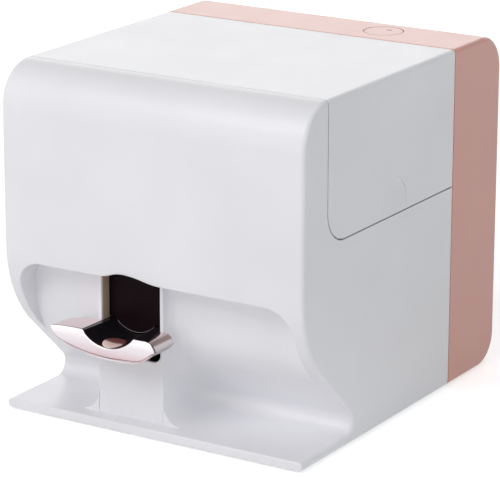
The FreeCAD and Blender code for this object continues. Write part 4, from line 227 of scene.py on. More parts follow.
# ------------------------------------------------------------------ sizes, metres
SAME_POINT = 0.0000005
WELD_REACH = 0.000002
# lead screw; the collar is counted back from its rear end
SCREW_R = 0.0025
SCREW_TIP_R = 0.0015
SCREW_COLLAR_R = 0.004
SCREW_COLLAR = (0.0090, 0.0060)
SCREW_LEAD = 0.005
SCREW_STARTS = 2
SCREW_SIDES = 24
SCREW_STEPS = 20                         # per lead
THREAD_DEPTH = 0.0003
THREAD_FLANK = 3.0                       # the higher, the steeper its flanks
PLAIN_ENDS = (0.004, 0.003)              # unthreaded in front and ahead of the collar
SHORTEST_STEP = 1e-7                     # no ring of points is closer to the collar's front
# felt block
FELT_GRID = (26, 44)
FELT_ROUND = 0.0014
FELT_WAVE = 0.00012
FELT_WAVE_TURNS = (900.0, 760.0)         # radians per metre in x and y
FELT_SHIFT = 1.0                         # radians


# ------------------------------------------------------------------ node helpers
class Shader:
    """One material's node tree, with its Principled shader."""

    def __init__(self, name):
        self.material = bpy.data.materials.new(name)
        self.material.use_nodes = True
        self.nodes = self.material.node_tree.nodes
        self.links = self.material.node_tree.links
        self.surface = self.nodes["Principled BSDF"]
        self.where = self.nodes.new("ShaderNodeTexCoord").outputs["Object"]

    def set(self, **values):
        """Sets inputs of the Principled shader by name."""
        for name, value in values.items():
            self.surface.inputs[name.replace("_", " ")].default_value = value
        return self

    def link(self, source, target):
        self.links.new(source, target)

    def stretched(self, scale):
        """Object coordinates multiplied by one number per axis."""
        mapping = self.nodes.new("ShaderNodeMapping")
        mapping.inputs["Scale"].default_value = scale
        self.link(self.where, mapping.inputs["Vector"])
        return mapping.outputs["Vector"]

    def noise(self, scale, detail, where=None):
        """Smooth noise, 0..1."""
        texture = self.nodes.new("ShaderNodeTexNoise")
        texture.inputs["Scale"].default_value = scale
        texture.inputs["Detail"].default_value = detail
        self.link(where or self.where, texture.inputs["Vector"])
        return texture.outputs["Fac"]

    def mapped(self, source, start, end, low=0.0, high=1.0):
        """A value that runs from low to high as the source runs from start to end."""
        node = self.nodes.new("ShaderNodeMapRange")
        for name, value in (("From Min", start), ("From Max", end), ("To Min", low), ("To Max", high)):
            node.inputs[name].default_value = value
        self.link(source, node.inputs["Value"])
        return node.outputs["Result"]

    def ramp(self, source, stops):
        """Colours or grey levels placed along a 0..1 value."""
        ramp = self.nodes.new("ShaderNodeValToRGB")
        elements = ramp.color_ramp.elements
        while len(elements) < len(stops):
            elements.new(0.5)
        for element, (place, colour) in zip(elements, stops):
            element.position = place
            element.color = grey(colour) if isinstance(colour, float) else (*colour, 1.0)
        self.link(source, ramp.inputs["Fac"])
        return ramp.outputs["Color"]

    def colour(self, source, low, high, span=MIDDLE):
        """Base colour between two tones, along a span of a 0..1 value."""
        self.link(self.ramp(source, [(span[0], low), (span[1], high)]), self.surface.inputs["Base Color"])

    def colours(self, source, stops):
        """Base colour of several stops along a 0..1 value."""
        self.link(self.ramp(source, stops), self.surface.inputs["Base Color"])

    def roughness(self, source, low, high, span=MIDDLE):
        """Roughness between two levels, along a span of a 0..1 value."""
        self.link(self.ramp(source, [(span[0], low), (span[1], min(1.0, high))]),
                  self.surface.inputs["Roughness"])

    def bump(self, height, depth, strength):
        """Fine relief, its depth in metres."""
        node = self.nodes.new("ShaderNodeBump")
        node.inputs["Distance"].default_value = depth
        node.inputs["Strength"].default_value = strength
        self.link(height, node.inputs["Height"])
        self.link(node.outputs["Normal"], self.surface.inputs["Normal"])

    def axis(self, vector, name):
        """One coordinate of a vector."""
        split = self.nodes.new("ShaderNodeSeparateXYZ")
        self.link(vector, split.inputs[0])
        return split.outputs[name]


def grey(level):
    """Grey level as a ramp's colour."""
    return (level, level, level, 1.0)


def at(x, depth, z):
    """Point in metres from millimetres and a depth behind the front plane."""
    return (x / 1000.0, (depth + FRONT_Y) / 1000.0, z / 1000.0)


def shade(colour, factor):
    """Colour multiplied by a factor."""
    return tuple(min(1.0, part * factor) for part in colour)


def spread(value, factors):
    """A colour or a number multiplied by the lowest and by the highest of two factors."""
    low, high = factors
    if isinstance(value, float):
        return value * low, value * high
    return shade(value, low), shade(value, high)


# ------------------------------------------------------------------ material families
def moulded(name, colour, rough, grain=2600.0, bump=MOULD_BUMP, drift=0.03, **more):
    """Moulded plastic: a slight drift of colour and gloss, and a fine spark-eroded grain."""
    made = Shader(name)
    made.colour(made.noise(*CLOUD), *spread(colour, (1.0 - drift, 1.0 + drift)))
    made.roughness(made.noise(*PATCHES), *spread(rough, PATCH_GLOSS))
    made.bump(made.noise(grain, MOULD_DETAIL), *bump)
    return made.set(**more).material


def metal(name, colour, rough, stretch=(1.0, 1.0, 1.0), scale=900.0):
    """Machined or rolled metal with marks drawn out along one axis."""
    made = Shader(name)
    marks = made.noise(scale, MARK_DETAIL, made.stretched(stretch))
    made.colour(marks, *spread(colour, MARK_TONE))
    made.roughness(marks, *spread(rough, MARK_GLOSS), WIDE_MIDDLE)
    made.bump(marks, *MARK_BUMP)
    return made.set(Metallic=1.0).material


def slope_painted_plating(name, rough):
    """Rose plating, its tone painted by the slope of the surface as reflections and shade over its real
    metallic gloss, with hairline polishing marks.
    """
    made = Shader(name)
    normal = made.nodes.new("ShaderNodeNewGeometry").outputs["Normal"]
    slope = made.mapped(made.axis(normal, "Z"), -1.0, 1.0)
    # tones by slope: painted reflections and shade
    made.colours(slope, [(0.5 + 0.5 * place, tone) for place, tone in PLATING_PAINTED_BY_SLOPE])
    marks = made.noise(*POLISH, made.stretched(POLISH_STRETCH))
    made.roughness(marks, *spread(rough, POLISH_GLOSS))
    made.bump(marks, *POLISH_BUMP)
    return made.set(Metallic=1.0, Coat_Weight=0.2, Coat_Roughness=0.05).material


def gel_with_painted_light_and_shade(name):
    """Soft gel pad: salmon with painted light at its front lip, painted shade in wine red towards the
    opening.
    """
    made = Shader(name)
    front, rear = (at(0.0, PAD_CENTRE[1] + side * PAD_HALF[1], 0.0)[1] for side in (-1.0, 1.0))
    made.colours(made.mapped(made.axis(made.where, "Y"), front, rear), GEL_PAINTED_LIGHT_AND_SHADE)
    made.roughness(made.noise(*GEL_PATCHES), *GEL_ROUGH)
    made.bump(made.noise(*GEL_GRAIN), *GEL_BUMP)
    return made.set(Subsurface_Weight=0.15, Subsurface_Radius=(0.002, 0.0007, 0.0006)).material


def rubber(name, colour, rough=0.72, grain=1800.0, gloss=0.3):
    """Matt rubber or felt, paler and rougher where dust lies."""
    made = Shader(name)
    dust = made.noise(*DUST)
    made.colour(dust, *spread(colour, DUST_TONE), DUST_TONE_SPAN)
    made.roughness(dust, rough, rough + DUST_ROUGHER, DUST_GLOSS_SPAN)
    made.bump(made.noise(grain, RUBBER_DETAIL), *RUBBER_BUMP)
    return made.set(Specular_IOR_Level=gloss).material


# ------------------------------------------------------------------ materials
MATERIALS = {
    "white_shell": lambda name: moulded(name, WHITE, 0.34, Coat_Weight=0.15, Coat_Roughness=0.22),
    "pink_shell": lambda name: moulded(name, PINK, 0.36, Coat_Weight=0.6, Coat_Roughness=0.3),
    # rose plating with painted reflections and shade by slope
    "lever_pink": lambda name: slope_painted_plating(name, 0.23),
    "cradle_black": lambda name: moulded(name, (0.010, 0.008, 0.011), 0.2, Specular_IOR_Level=0.35),
    # gel with painted light at its front and painted shade at its rear
    "pad_pink": gel_with_painted_light_and_shade,
    "door_maroon": lambda name: moulded(name, (0.008, 0.0025, 0.004), 0.42, Specular_IOR_Level=0.05),
    "skirt_rubber": lambda name: rubber(name, (0.008, 0.003, 0.005), 0.6, gloss=0.05),
    "grey_plastic": lambda name: moulded(name, (0.30, 0.30, 0.31), 0.5),
    "black_plastic": lambda name: moulded(name, (0.03, 0.03, 0.032), 0.45),
    "foot_rubber": lambda name: rubber(name, (0.10, 0.10, 0.105)),
    "screw_steel": lambda name: metal(name, (0.55, 0.55, 0.56), 0.35),
    "polished_steel": lambda name: metal(name, (0.70, 0.70, 0.72), 0.14, (1.0, 1.0, 0.08)),
    "spring_steel": lambda name: metal(name, (0.58, 0.58, 0.60), 0.3),
    "sheet_steel": lambda name: metal(name, (0.56, 0.57, 0.59), 0.42, (0.2, 1.0, 1.0), 120.0),
    "motor_steel": lambda name: metal(name, (0.60, 0.60, 0.61), 0.3, (1.0, 0.1, 1.0)),
    "magnet": lambda name: metal(name, (0.55, 0.55, 0.57), 0.2),
    "brass_part": lambda name: metal(name, (0.66, 0.46, 0.20), 0.26),
    "aluminium_part": lambda name: metal(name, (0.72, 0.73, 0.75), 0.3, (1.0, 0.2, 1.0)),
    "belt_rubber": lambda name: rubber(name, (0.02, 0.02, 0.02)),
    "strip_film": lambda name: moulded(name, (0.35, 0.36, 0.40), 0.12, Transmission_Weight=0.4),
    "cartridge_plastic": lambda name: moulded(name, (0.055, 0.056, 0.062), 0.4),
    "latch_plastic": lambda name: moulded(name, (0.09, 0.26, 0.38), 0.35),
    "camera_plastic": lambda name: moulded(name, (0.02, 0.02, 0.022), 0.4),
    "lens_glass": lambda name: moulded(name, (0.02, 0.03, 0.06), 0.03, Coat_Weight=1.0),
    "circuit_board": lambda name: moulded(name, (0.012, 0.12, 0.05), 0.3),
    "seal_rubber": lambda name: rubber(name, (0.04, 0.04, 0.042)),
    "felt": lambda name: rubber(name, (0.72, 0.70, 0.66), 0.95, 700.0),
    "chip_plastic": lambda name: moulded(name, (0.03, 0.03, 0.032), 0.5),
    "light_pipe": lambda name: moulded(name, (0.02, 0.012, 0.012), 0.6, Specular_IOR_Level=0.0),
}


def dress_nodes():
    """Gives every CAD node the material of its slot."""
    made = {slot: make(slot) for slot, make in MATERIALS.items()}
    for part in frame["record"]["subparts"]:
        node = NODES[part["node"]]
        node.data.materials.clear()
        node.data.materials.append(made[part["material_slot"]])
    return made


def soften(node, width):
    """Rounds the sharp edges of a CAD node's mesh with modifiers."""
    holder = NODES[node]
    weld = holder.modifiers.new("weld", "WELD")
    weld.merge_threshold = WELD_REACH
    bevel = holder.modifiers.new("bevel", "BEVEL")
    bevel.width = width / 1000.0
    bevel.segments = SOFT_SEGMENTS
    bevel.limit_method = "ANGLE"
    bevel.angle_limit = math.radians(SOFT_ANGLE)
    bevel.miter_outer = "MITER_ARC"
    holder.modifiers.new("normals", "WEIGHTED_NORMAL")


# ------------------------------------------------------------------ mesh helpers
def show(name, data):
    """Object of a mesh, lamp or camera, in the scene."""
    made = bpy.data.objects.new(name, data)
    bpy.context.scene.collection.objects.link(made)
    return made


def piece(name, points, faces, body, material, crease=CREASE):
    """Mesh object that rides on a body; its edges stay sharp above the crease angle."""
    mesh = bpy.data.meshes.new(name)
    mesh.from_pydata(points, [], faces)
    tidy = bmesh.new()
    tidy.from_mesh(mesh)
    bmesh.ops.remove_doubles(tidy, verts=tidy.verts, dist=SAME_POINT)
    bmesh.ops.dissolve_degenerate(tidy, edges=tidy.edges, dist=SAME_POINT)
    bmesh.ops.recalc_face_normals(tidy, faces=tidy.faces)
    tidy.to_mesh(mesh)
    tidy.free()
    mesh.polygons.foreach_set("use_smooth", [True] * len(mesh.polygons))
    mesh.set_sharp_from_angle(angle=math.radians(crease))
    mesh.materials.append(material)
    made = show(name, mesh)
    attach(made, body)
    return made


def grid_faces(rows, columns, wrap=False):
    """Quads of a grid of points stored row by row."""
    faces = []
    for row in range(rows - 1):
        for column in range(columns if wrap else columns - 1):
            after = (column + 1) % columns
            faces.append((row * columns + column, row * columns + after,
                          (row + 1) * columns + after, (row + 1) * columns + column))
    return faces


def closed_bar(points, sides):
    """Faces of a bar made of rings of points, with its two ends."""
    count = len(points)
    faces = grid_faces(count // sides, sides, wrap=True)
    return faces + [tuple(range(sides)), tuple(range(count - sides, count))]


def tube(name, line, radius, sides, body, material, ends=True):
    """Round bar along a line of points."""
    points = []
    for index, here in enumerate(line):
        before = Vector(line[max(0, index - 1)])
        after = Vector(line[min(len(line) - 1, index + 1)])
        along = (after - before).normalized()
        side = along.cross(Vector((0.0, 1.0, 0.0)))
        if side.length < NEARLY_ALONG:
            side = along.cross(Vector((1.0, 0.0, 0.0)))
        side.normalize()
        up = along.cross(side)
        for step in range(sides):
            turn = TURN * step / sides
            points.append(Vector(here) + (side * math.cos(turn) + up * math.sin(turn)) * radius)
    faces = closed_bar(points, sides) if ends else grid_faces(len(line), sides, wrap=True)
    return piece(name, points, faces, body, material)


def arc_points(start, via, end):
    """Points of the circle arc through three points of a plane."""
    (ax, ay), (bx, by), (cx, cy) = start, via, end
    twice = 2.0 * (ax * (by - cy) + bx * (cy - ay) + cx * (ay - by))
    a2, b2, c2 = ax * ax + ay * ay, bx * bx + by * by, cx * cx + cy * cy
    mx = (a2 * (by - cy) + b2 * (cy - ay) + c2 * (ay - by)) / twice
    my = (a2 * (cx - bx) + b2 * (ax - cx) + c2 * (bx - ax)) / twice
    radius = math.hypot(ax - mx, ay - my)
    first = math.atan2(ay - my, ax - mx)
    sweep = (math.atan2(cy - my, cx - mx) - first) % TURN
    middle = (math.atan2(by - my, bx - mx) - first) % TURN
    if middle > sweep:
        sweep -= TURN
    turns = [first + sweep * k / ARC_STEPS for k in range(ARC_STEPS + 1)]
    return [(mx + radius * math.cos(turn), my + radius * math.sin(turn)) for turn in turns]


def quarter(count):
    """Angles of a quarter turn."""
    return [0.5 * math.pi * k / count for k in range(count + 1)]


def height_at(line, x):
    """Height of a line of (x, z) points at x."""
    for (x0, z0), (x1, z1) in zip(line, line[1:]):
        if min(x0, x1) <= x <= max(x0, x1) and abs(x1 - x0) > UPRIGHT:
            return z0 + (z1 - z0) * (x - x0) / (x1 - x0)
    return line[0][1] if abs(x - line[0][0]) < abs(x - line[-1][0]) else line[-1][1]


def groove_floor(x, depth):
    """Height of the finger groove's surface."""
    share = (depth - GROOVE_MOUTH[0]) / (GROOVE_NECK[0] - GROOVE_MOUTH[0])
    share = min(1.0, max(0.0, share))
    radius = GROOVE_MOUTH[1] + (GROOVE_NECK[1] - GROOVE_MOUTH[1]) * share
    axis = GROOVE_MOUTH[2] + (GROOVE_NECK[2] - GROOVE_MOUTH[2]) * share
    off = min(radius, abs(x - LEVER_X))
    return axis - math.sqrt(radius * radius - off * off)


# ------------------------------------------------------------------ finger lever
def lever_lines():
    """Upper and lower front outline of the lever, left to right."""
    left, right = LEVER_ENDS
    wide = right - left

    def spots(end, way, shares):
        return [(end + way * share * wide, LEVER_TOP - fall * LEVER_DROP) for share, fall in shares]

    upper = arc_points(*spots(left, 1.0, UPPER_LEFT)) + arc_points(*spots(right, -1.0, UPPER_RIGHT))
    under = spots(right, -1.0, LOWER)
    lower = []
    for first in range(0, len(under) - 1, 2):
        lower += arc_points(*under[first:first + 3])
    return upper, lower[::-1]


def lever_stations(inset):
    """(x, lower height, upper height) across the lever, the saddle taken out of its top."""
    upper, lower = lever_lines()
    left, right = LEVER_ENDS[0] + inset, LEVER_ENDS[1] - inset
    stations = []
    for step in range(LEVER_STEPS + 1):
        even = step / LEVER_STEPS
        crowded = 0.5 - 0.5 * math.cos(math.pi * even)
        x = left + (right - left) * (LEVER_CROWDING * crowded + (1.0 - LEVER_CROWDING) * even)
        top = min(height_at(upper, x), groove_floor(x, LEVER_FRONT)) - inset
        stations.append((x, min(height_at(lower, x) + inset, top - LEVER_EDGE), top))
    return stations


def bezel_depth(z, above, below, scale):
    """Depth of the bezel's face: a crown, a chin turned under, and rounded rims."""
    crown = CROWN_R - math.sqrt(CROWN_R ** 2 - (z - (LEVER_TOP - LEVER_DROP / 2.0)) ** 2)
    chin = max(0.0, CHIN * scale - above) * CHIN_SLOPE
    rim = 0.0
    for gap in (above, below):
        if gap < RIM_R * scale:
            part = 1.0 - gap / (RIM_R * scale)
            rim = max(rim, RIM_R * scale * (1.0 - math.sqrt(max(0.0, 1.0 - part * part))))
    return min(LEVER_FRONT + crown + chin + rim, BEZEL_BACK - BEZEL_GAP - BEZEL_EDGE)


def make_bezel(made):
    """Polished front trim of the lever, and the dark joint behind it."""
    back = BEZEL_BACK - BEZEL_GAP
    points = []
    for x, low, high in lever_stations(0.0):
        tall = high - low
        scale = min(1.0, tall / FULL_RIM_HEIGHT)
        points.append(at(x, back, low))
        for share in BEZEL_ROWS:
            z = low + tall * share
            points.append(at(x, bezel_depth(z, z - low, high - z, scale), z))
        points.append(at(x, back, high))
    bezel = piece("lever_front", points, closed_bar(points, len(BEZEL_ROWS) + 2), "finger_lever",
                  made["lever_pink"], BEZEL_CREASE)
    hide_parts("lever_bezel")
    front = back - JOINT_LAP
    points = []
    for x, low, high in lever_stations(JOINT_SINK):
        points += [at(x, front, low), at(x, front, high), at(x, BEZEL_BACK, high), at(x, BEZEL_BACK, low)]
    piece("lever_joint", points, closed_bar(points, 4), "finger_lever",
          made["cradle_black"])


def make_pad(made):
    """Crowned gel pad that follows the groove."""
    rings, spokes = PAD_RINGS, PAD_SPOKES
    half_x, half_y = PAD_HALF
    rim_lift, lift = PAD_LIFT

    def spot(share, turn, over):
        x = PAD_CENTRE[0] + half_x * share * math.cos(turn)
        depth = PAD_CENTRE[1] + half_y * share * math.sin(turn)
        return at(x, depth, groove_floor(x, depth) + over)

    def circle(share, over):
        return [spot(share, TURN * k / spokes, over) for k in range(spokes)]

    points = []
    for ring in range(1, rings + 1):
        share = ring / rings
        points += circle(share, rim_lift + (lift - rim_lift) * (1.0 - share ** PAD_SHOULDER) ** 0.5)
    for ring in range(rings, 0, -1):
        points += circle(ring / rings, PAD_FLOOR)
    faces = grid_faces(2 * rings, spokes, wrap=True)
    points += [spot(0.0, 0.0, lift), spot(0.0, 0.0, PAD_FLOOR)]
    last = (2 * rings - 1) * spokes
    for k in range(spokes):
        after = (k + 1) % spokes
        faces.append((k, after, len(points) - 2))
        faces.append((last + k, last + after, len(points) - 1))
    pad = piece("finger_cushion", points, faces, "finger_lever", made["pad_pink"])
    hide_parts("finger_pad")


# ------------------------------------------------------------------ finger opening
def slot_line(inset):
    """Outline of the opening's floor and lower sides, from left to right."""
    x0, x1 = SLOT_X[0] + inset, SLOT_X[1] - inset
    low, high = SLOT_Z[0] + inset, SHADE_SHEET_SPLIT_Z
    r = SLOT_R - inset
    turns = quarter(SLOT_CORNER_STEPS)
    line = [(x0, high)]
    line += [(x0 + r - r * math.cos(turn), low + r - r * math.sin(turn)) for turn in turns]
    line += [(x1 - r + r * math.sin(turn), low + r - r * math.cos(turn)) for turn in turns]
    return line + [(x1, high)]


def strip(name, outer, inner, depths, material):
    """Flat band on the machine between two outlines of the (x, z) plane, from one depth to another."""
    front, rear = depths
    points = []
    for (xa, za), (xb, zb) in zip(outer, inner):
        points += [at(xa, front, za), at(xb, front, zb), at(xb, rear, zb), at(xa, rear, za)]
    return piece(name, points, closed_bar(points, 4), "machine", material)


def make_shade_sheet():
    """Sheets on the opening's walls that paint its shade: warm tan on the upper side walls, black on the
    lower inside.
    """
    # tan paints the warm shade of the white walls; the black sheet paints shadow where there is only shade
    tan = moulded("shade_sheet", PAINTED_WARM_SHADE, 0.85, 1500.0, SHADE_SHEET_BUMP, 0.08, Specular_IOR_Level=0.2)
    black = rubber("shade_sheet_black", PAINTED_SHADOW_BLACK, 0.8)
    low = SHADE_SHEET_SPLIT_Z + SHADE_SHEET_OFF
    heights = [low + (SLOT_Z[1] - low) * k / SHADE_SHEET_STEPS for k in range(SHADE_SHEET_STEPS + 1)]
    for name, side, inward in (("left_shade_sheet", SLOT_X[0], 1.0), ("right_shade_sheet", SLOT_X[1], -1.0)):
        near = side + inward * SHADE_SHEET_OFF
        far = side + inward * (SHADE_SHEET_OFF + SHADE_SHEET_THICK)
        strip(name, [(near, z) for z in heights], [(far, z) for z in heights], SHADE_SHEET_Y, tan)
    strip("lower_shade_sheet", slot_line(SHADE_SHEET_OFF), slot_line(SHADE_SHEET_OFF + LOWER_SHADE_SHEET_THICK), SHADE_SHEET_Y, black)


def make_highlight_bead():
    """Painted highlight along the edge of the door's soft skirt, as a thin pale tube."""
    radius = GROOVE_NECK[1] - SKIRT_GAP - BEAD_INSET
    reach = BEAD_SHARE * math.acos((GROOVE_NECK[2] - BEAD_TOP_Z) / radius)
    line = []
    for step in range(BEAD_STEPS + 1):
        turn = -reach + 2.0 * reach * step / BEAD_STEPS
        line.append(at(LEVER_X + radius * math.sin(turn), DOOR_FACE - BEAD_PROUD,
                       GROOVE_NECK[2] - radius * math.cos(turn)))
    # a pale tube that paints the skirt edge's highlight
    tube("skirt_highlight_bead", line, BEAD_R / 1000.0, BEAD_SIDES, "finger_door",
         moulded("highlight_bead", BEAD_HIGHLIGHT_TONE, 0.35))


def body_line(inset):
    """Outline of the closed machine across its seam, from the lower right over the top to the lower left."""
    x, top, r = SIDE_X - inset, BODY_TOP - inset, EDGE_R - inset
    right = [(x, z) for z in SIDE_STOPS_Z]
    right += [(x - r + r * math.cos(turn), top - r + r * math.sin(turn)) for turn in quarter(EDGE_STEPS)]
    return right + [(-across, z) for across, z in reversed(right)]


def make_seam_highlight_strip():
    """Pale strip at the bottom of the joint between the white panels and the pink cover, a painted highlight
    for the white panels' rounded edge.
    """
    strip("seam_highlight_strip", body_line(SEAM_SINK), body_line(SEAM_SINK + SEAM_STRIP), SEAM_Y,
          moulded("seam_highlight_strip", SEAM_HIGHLIGHT_TONE, 0.4))


def make_button_ring():
    """Thin dark ring at the bottom of the gap round the button."""
    x, depth, radius = BUTTON
    reach = radius + RING_OUT
    turns = [TURN * k / RING_STEPS for k in range(RING_STEPS + 1)]
    line = [at(x + reach * math.cos(turn), depth + reach * math.sin(turn), BUTTON_TOP - RING_SINK)
            for turn in turns]
    tube("button_ring", line, RING_R / 1000.0, RING_SIDES, "machine",
         moulded("ring", RING_TONE, 0.6), ends=False)


# ------------------------------------------------------------------ inside
def coil_line(x, y, low, high, radius, turns):
    """Line of a compression spring, its end turns closed up."""
    line = []
    for step in range(turns * COIL_STEPS + 1):
        wound = step / COIL_STEPS
        turn, share = TURN * wound, wound / turns
        closed = share - math.sin(TURN * share) / TURN
        line.append((x + radius * math.cos(turn), y + radius * math.sin(turn),
                     low + (high - low) * ((1.0 - COIL_CROWDING) * share + COIL_CROWDING * closed)))
    return line


def make_springs(made):
    """Compression springs under the finger lever and the power button."""
    for node, joint, (radius, wire, turns), names in (
            ("lift_springs", "finger_rest_slide", LIFT_SPRING, ("left_lift_coil", "right_lift_coil")),
            ("button_spring", "power_button_press", BUTTON_SPRING, ("button_coil",))):
        low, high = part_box(node)
        reach, radius, wire = (radius + wire) / 1000.0, radius / 1000.0, wire / 1000.0
        for name, x in zip(names, (low.x + reach, high.x - reach)):
            line = coil_line(x, (low.y + high.y) / 2.0, low.z + wire, high.z - wire, radius, turns)
            spring = tube(name, line, wire, WIRE_SIDES, "machine", made["spring_steel"])
            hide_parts(node)
            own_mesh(spring)


def make_lead_screw(made):
    """Spindle with a two-start thread, cut inside the CAD spindle's radius."""
    low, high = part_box("lead_screw")
    axis_x, axis_z = (low.x + high.x) / 2.0, (low.z + high.z) / 2.0
    collar = (high.y - SCREW_COLLAR[0], high.y - SCREW_COLLAR[1])
    threaded = (low.y + PLAIN_ENDS[0], collar[0] - PLAIN_ENDS[1])
    spans = []
    y = low.y
    while y < collar[0] - SHORTEST_STEP:
        spans.append((y, SCREW_R, THREAD_DEPTH if threaded[0] < y < threaded[1] else 0.0))
        y += SCREW_LEAD / SCREW_STEPS
    spans += [(collar[0], SCREW_R, 0.0), (collar[0], SCREW_COLLAR_R, 0.0), (collar[1], SCREW_COLLAR_R, 0.0),
              (collar[1], SCREW_TIP_R, 0.0), (high.y, SCREW_TIP_R, 0.0)]
    points = []
    for y, radius, cut in spans:
        for k in range(SCREW_SIDES):
            turn = TURN * k / SCREW_SIDES
            phase = SCREW_STARTS * (y / SCREW_LEAD + turn / TURN) % 1.0
            dip = cut * min(1.0, max(0.0, THREAD_FLANK * abs(2.0 * phase - 1.0) - 1.0))
            points.append((axis_x + (radius - dip) * math.cos(turn), y,
                           axis_z + (radius - dip) * math.sin(turn)))
    screw = piece("threaded_spindle", points, closed_bar(points, SCREW_SIDES), "lead_screw",
                  made["polished_steel"], THREAD_CREASE)
    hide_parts("lead_screw")


def make_waste_felt(made):
    """Felt block with soft edges and an uneven top."""
    low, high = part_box("waste_ink_pad")
    nx, ny = FELT_GRID
    turns_x, turns_y = FELT_WAVE_TURNS

    def inward(value, start, end):
        gap = max(0.0, FELT_ROUND - min(value - start, end - value))
        return FELT_ROUND - math.sqrt(max(0.0, FELT_ROUND ** 2 - gap ** 2))

    points = []
    for row in range(ny + 1):
        y = low.y + (high.y - low.y) * row / ny
        for column in range(nx + 1):
            x = low.x + (high.x - low.x) * column / nx
            fall = inward(x, low.x, high.x) + inward(y, low.y, high.y)
            wave = FELT_WAVE * (1.0 + math.sin(x * turns_x) * math.cos(y * turns_y + FELT_SHIFT))
            points.append((x, y, high.z - fall - wave))
    faces = grid_faces(ny + 1, nx + 1)
    top = len(points)
    across = nx + 1
    rim = list(range(across)) + [(row + 1) * across - 1 for row in range(1, ny + 1)]
    rim += [ny * across + k for k in range(nx - 1, -1, -1)]
    rim += [row * across for row in range(ny - 1, 0, -1)]
    points += [(points[k][0], points[k][1], low.z) for k in rim]
    for k in range(len(rim)):
        after = (k + 1) % len(rim)
        faces.append((rim[k], rim[after], top + after, top + k))
    faces.append(tuple(range(top, top + len(rim))))
    felt = piece("waste_felt", points, faces, "machine", made["felt"])
    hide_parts("waste_ink_pad")


# ------------------------------------------------------------------ studio
WORLD_LIGHT = 0.12
FLOOR_COLOUR = (0.86, 0.86, 0.865)
FLOOR_HALF = 8.0                         # metres
FLOOR_LIFT = 0.62                        # white added to the floor where it is looked at
FLOOR_FADE = (0.6, 1.6)                  # metres out to where the floor is plain white
FLOOR_DROP = 0.00003                     # metres; keeps the feet's lower faces in front of the floor
PURE_WHITE = (1.0, 1.0, 1.0)
MIDDLE_AIM = (0.0, 0.0, 0.1)
# place, aim, size in metres, watts, colour
LAMPS = {
    "key": ((-1.3, -1.7, 0.6), MIDDLE_AIM, (1.5, 1.1), 3.0, PURE_WHITE),
    "low_front": ((0.1, -1.9, 0.35), (0.0, 0.0, 0.05), (1.8, 0.5), 5.5, PURE_WHITE),
    "high_front": ((-0.5, -1.7, 1.9), MIDDLE_AIM, (1.6, 1.6), 28.5, PURE_WHITE),
    "right": ((2.3, -0.2, 0.55), MIDDLE_AIM, (1.4, 0.9), 11.2, (0.955, 1.0, 1.0)),
    "back": ((-1.1, 1.9, 0.9), MIDDLE_AIM, (2.4, 0.9), 6.8, PURE_WHITE),
    "top": ((0.2, 0.3, 2.4), MIDDLE_AIM, (1.6, 1.6), 7.5, PURE_WHITE),
}


def set_camera():
    """Camera at the reference view, with its small shift."""
    azimuth = math.radians(VIEW_AZIMUTH)
    elevation = math.radians(VIEW_ELEVATION)
    roll = math.radians(VIEW_ROLL)
    back = Vector((math.sin(azimuth) * math.cos(elevation),
                   -math.cos(azimuth) * math.cos(elevation),
                   math.sin(elevation)))
    level = Vector((math.cos(azimuth), math.sin(azimuth), 0.0))
    upright = back.cross(level)
    right = level * math.cos(roll) + upright * math.sin(roll)
    up = upright * math.cos(roll) - level * math.sin(roll)
    place = VIEW_AIM + right * VIEW_OFFSET[0] + up * VIEW_OFFSET[1] + back * VIEW_DISTANCE
    wide, tall = IMAGE_SIZE
    lens = bpy.data.cameras.new("camera")
    lens.sensor_width = SENSOR
    lens.sensor_fit = "HORIZONTAL"
    lens.lens = FOCAL_PX / wide * SENSOR
    lens.shift_x = -(CENTRE_PX[0] - wide / 2.0) / wide
    lens.shift_y = (CENTRE_PX[1] - tall / 2.0) / wide
    lens.clip_end = CLIP_END
    camera = show("camera", lens)
    camera.matrix_world = Matrix((
        (right.x, up.x, back.x, place.x),
        (right.y, up.y, back.y, place.y),
        (right.z, up.z, back.z, place.z),
        (0.0, 0.0, 0.0, 1.0),
    ))
    bpy.context.scene.camera = camera


def seen_directly(nodes, links):
    """1 for rays of the camera, of reflections and through glass; 0 for light that falls on things."""
    path = nodes.new("ShaderNodeLightPath")
    first = nodes.new("ShaderNodeMath")
    first.operation = "MAXIMUM"
    second = nodes.new("ShaderNodeMath")
    second.operation = "MAXIMUM"
    links.new(path.outputs["Is Camera Ray"], first.inputs[0])
    links.new(path.outputs["Is Glossy Ray"], first.inputs[1])
    links.new(first.outputs[0], second.inputs[0])
    links.new(path.outputs["Is Transmission Ray"], second.inputs[1])
    return second.outputs[0]


def set_world():
    """Faint light from all round, seen as plain white."""
    world = bpy.data.worlds.new("studio")
    bpy.context.scene.world = world
    world.use_nodes = True
    nodes, links = world.node_tree.nodes, world.node_tree.links
    lit = nodes["Background"]
    seen = nodes.new("ShaderNodeBackground")
    for node, strength in ((lit, WORLD_LIGHT), (seen, 1.0)):
        node.inputs["Color"].default_value = (*PURE_WHITE, 1.0)
        node.inputs["Strength"].default_value = strength
    mix = nodes.new("ShaderNodeMixShader")
    links.new(seen_directly(nodes, links), mix.inputs["Fac"])
    links.new(lit.outputs[0], mix.inputs[1])
    links.new(seen.outputs[0], mix.inputs[2])
    links.new(mix.outputs[0], nodes["World Output"].inputs["Surface"])


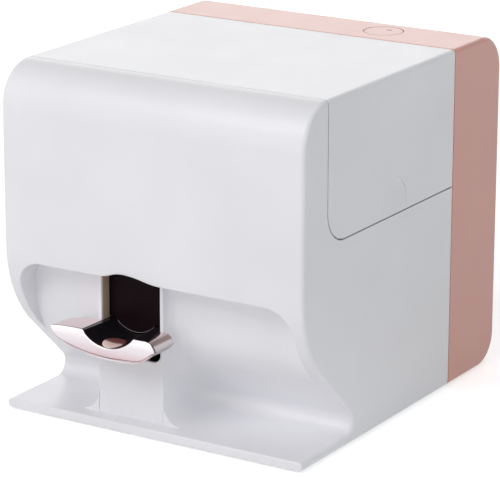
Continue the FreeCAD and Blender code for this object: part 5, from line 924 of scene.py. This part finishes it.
def make_floor():
    """Pale floor that keeps the object's shadow and turns plain white farther out."""
    corners = [(side_x * FLOOR_HALF, side_y * FLOOR_HALF, -FLOOR_DROP)
               for side_x, side_y in ((-1, -1), (1, -1), (1, 1), (-1, 1))]
    mesh = bpy.data.meshes.new("floor")
    mesh.from_pydata(corners, [], [(0, 1, 2, 3)])
    floor = show("floor", mesh)
    made = Shader("floor")
    made.colour(made.noise(*FLOOR_SPECK), *spread(FLOOR_COLOUR, SPECK_TONE))
    made.set(Roughness=0.9, Specular_IOR_Level=0.1)
    away = made.nodes.new("ShaderNodeVectorMath")
    away.operation = "LENGTH"
    made.link(made.where, away.inputs[0])
    lift = made.nodes.new("ShaderNodeMath")
    lift.operation = "MULTIPLY"
    made.link(seen_directly(made.nodes, made.links), lift.inputs[0])
    made.link(made.mapped(away.outputs["Value"], *FLOOR_FADE, FLOOR_LIFT, 1.0), lift.inputs[1])
    glow = made.nodes.new("ShaderNodeEmission")
    made.link(lift.outputs[0], glow.inputs["Strength"])
    both = made.nodes.new("ShaderNodeAddShader")
    made.link(made.surface.outputs[0], both.inputs[0])
    made.link(glow.outputs[0], both.inputs[1])
    made.link(both.outputs[0], made.nodes["Material Output"].inputs["Surface"])
    mesh.materials.append(made.material)


def set_lamps():
    """Soft rectangular lamps."""
    for name, (place, aim, size, power, colour) in LAMPS.items():
        lamp = bpy.data.lights.new(name, "AREA")
        lamp.shape = "RECTANGLE"
        lamp.size, lamp.size_y = size
        lamp.energy = power
        lamp.color = colour
        holder = show(name, lamp)
        holder.location = place
        holder.rotation_euler = (Vector(aim) - Vector(place)).to_track_quat("-Z", "Y").to_euler()


bpy.context.scene.view_settings.view_transform = "Standard"
materials = dress_nodes()
set_camera()
for edge, members in SOFT_EDGES.items():
    for member in members:
        soften(member, edge)
make_bezel(materials)
make_pad(materials)
make_shade_sheet()
make_highlight_bead()
make_seam_highlight_strip()
make_button_ring()
make_springs(materials)
make_lead_screw(materials)
make_waste_felt(materials)
set_world()
make_floor()
set_lamps()
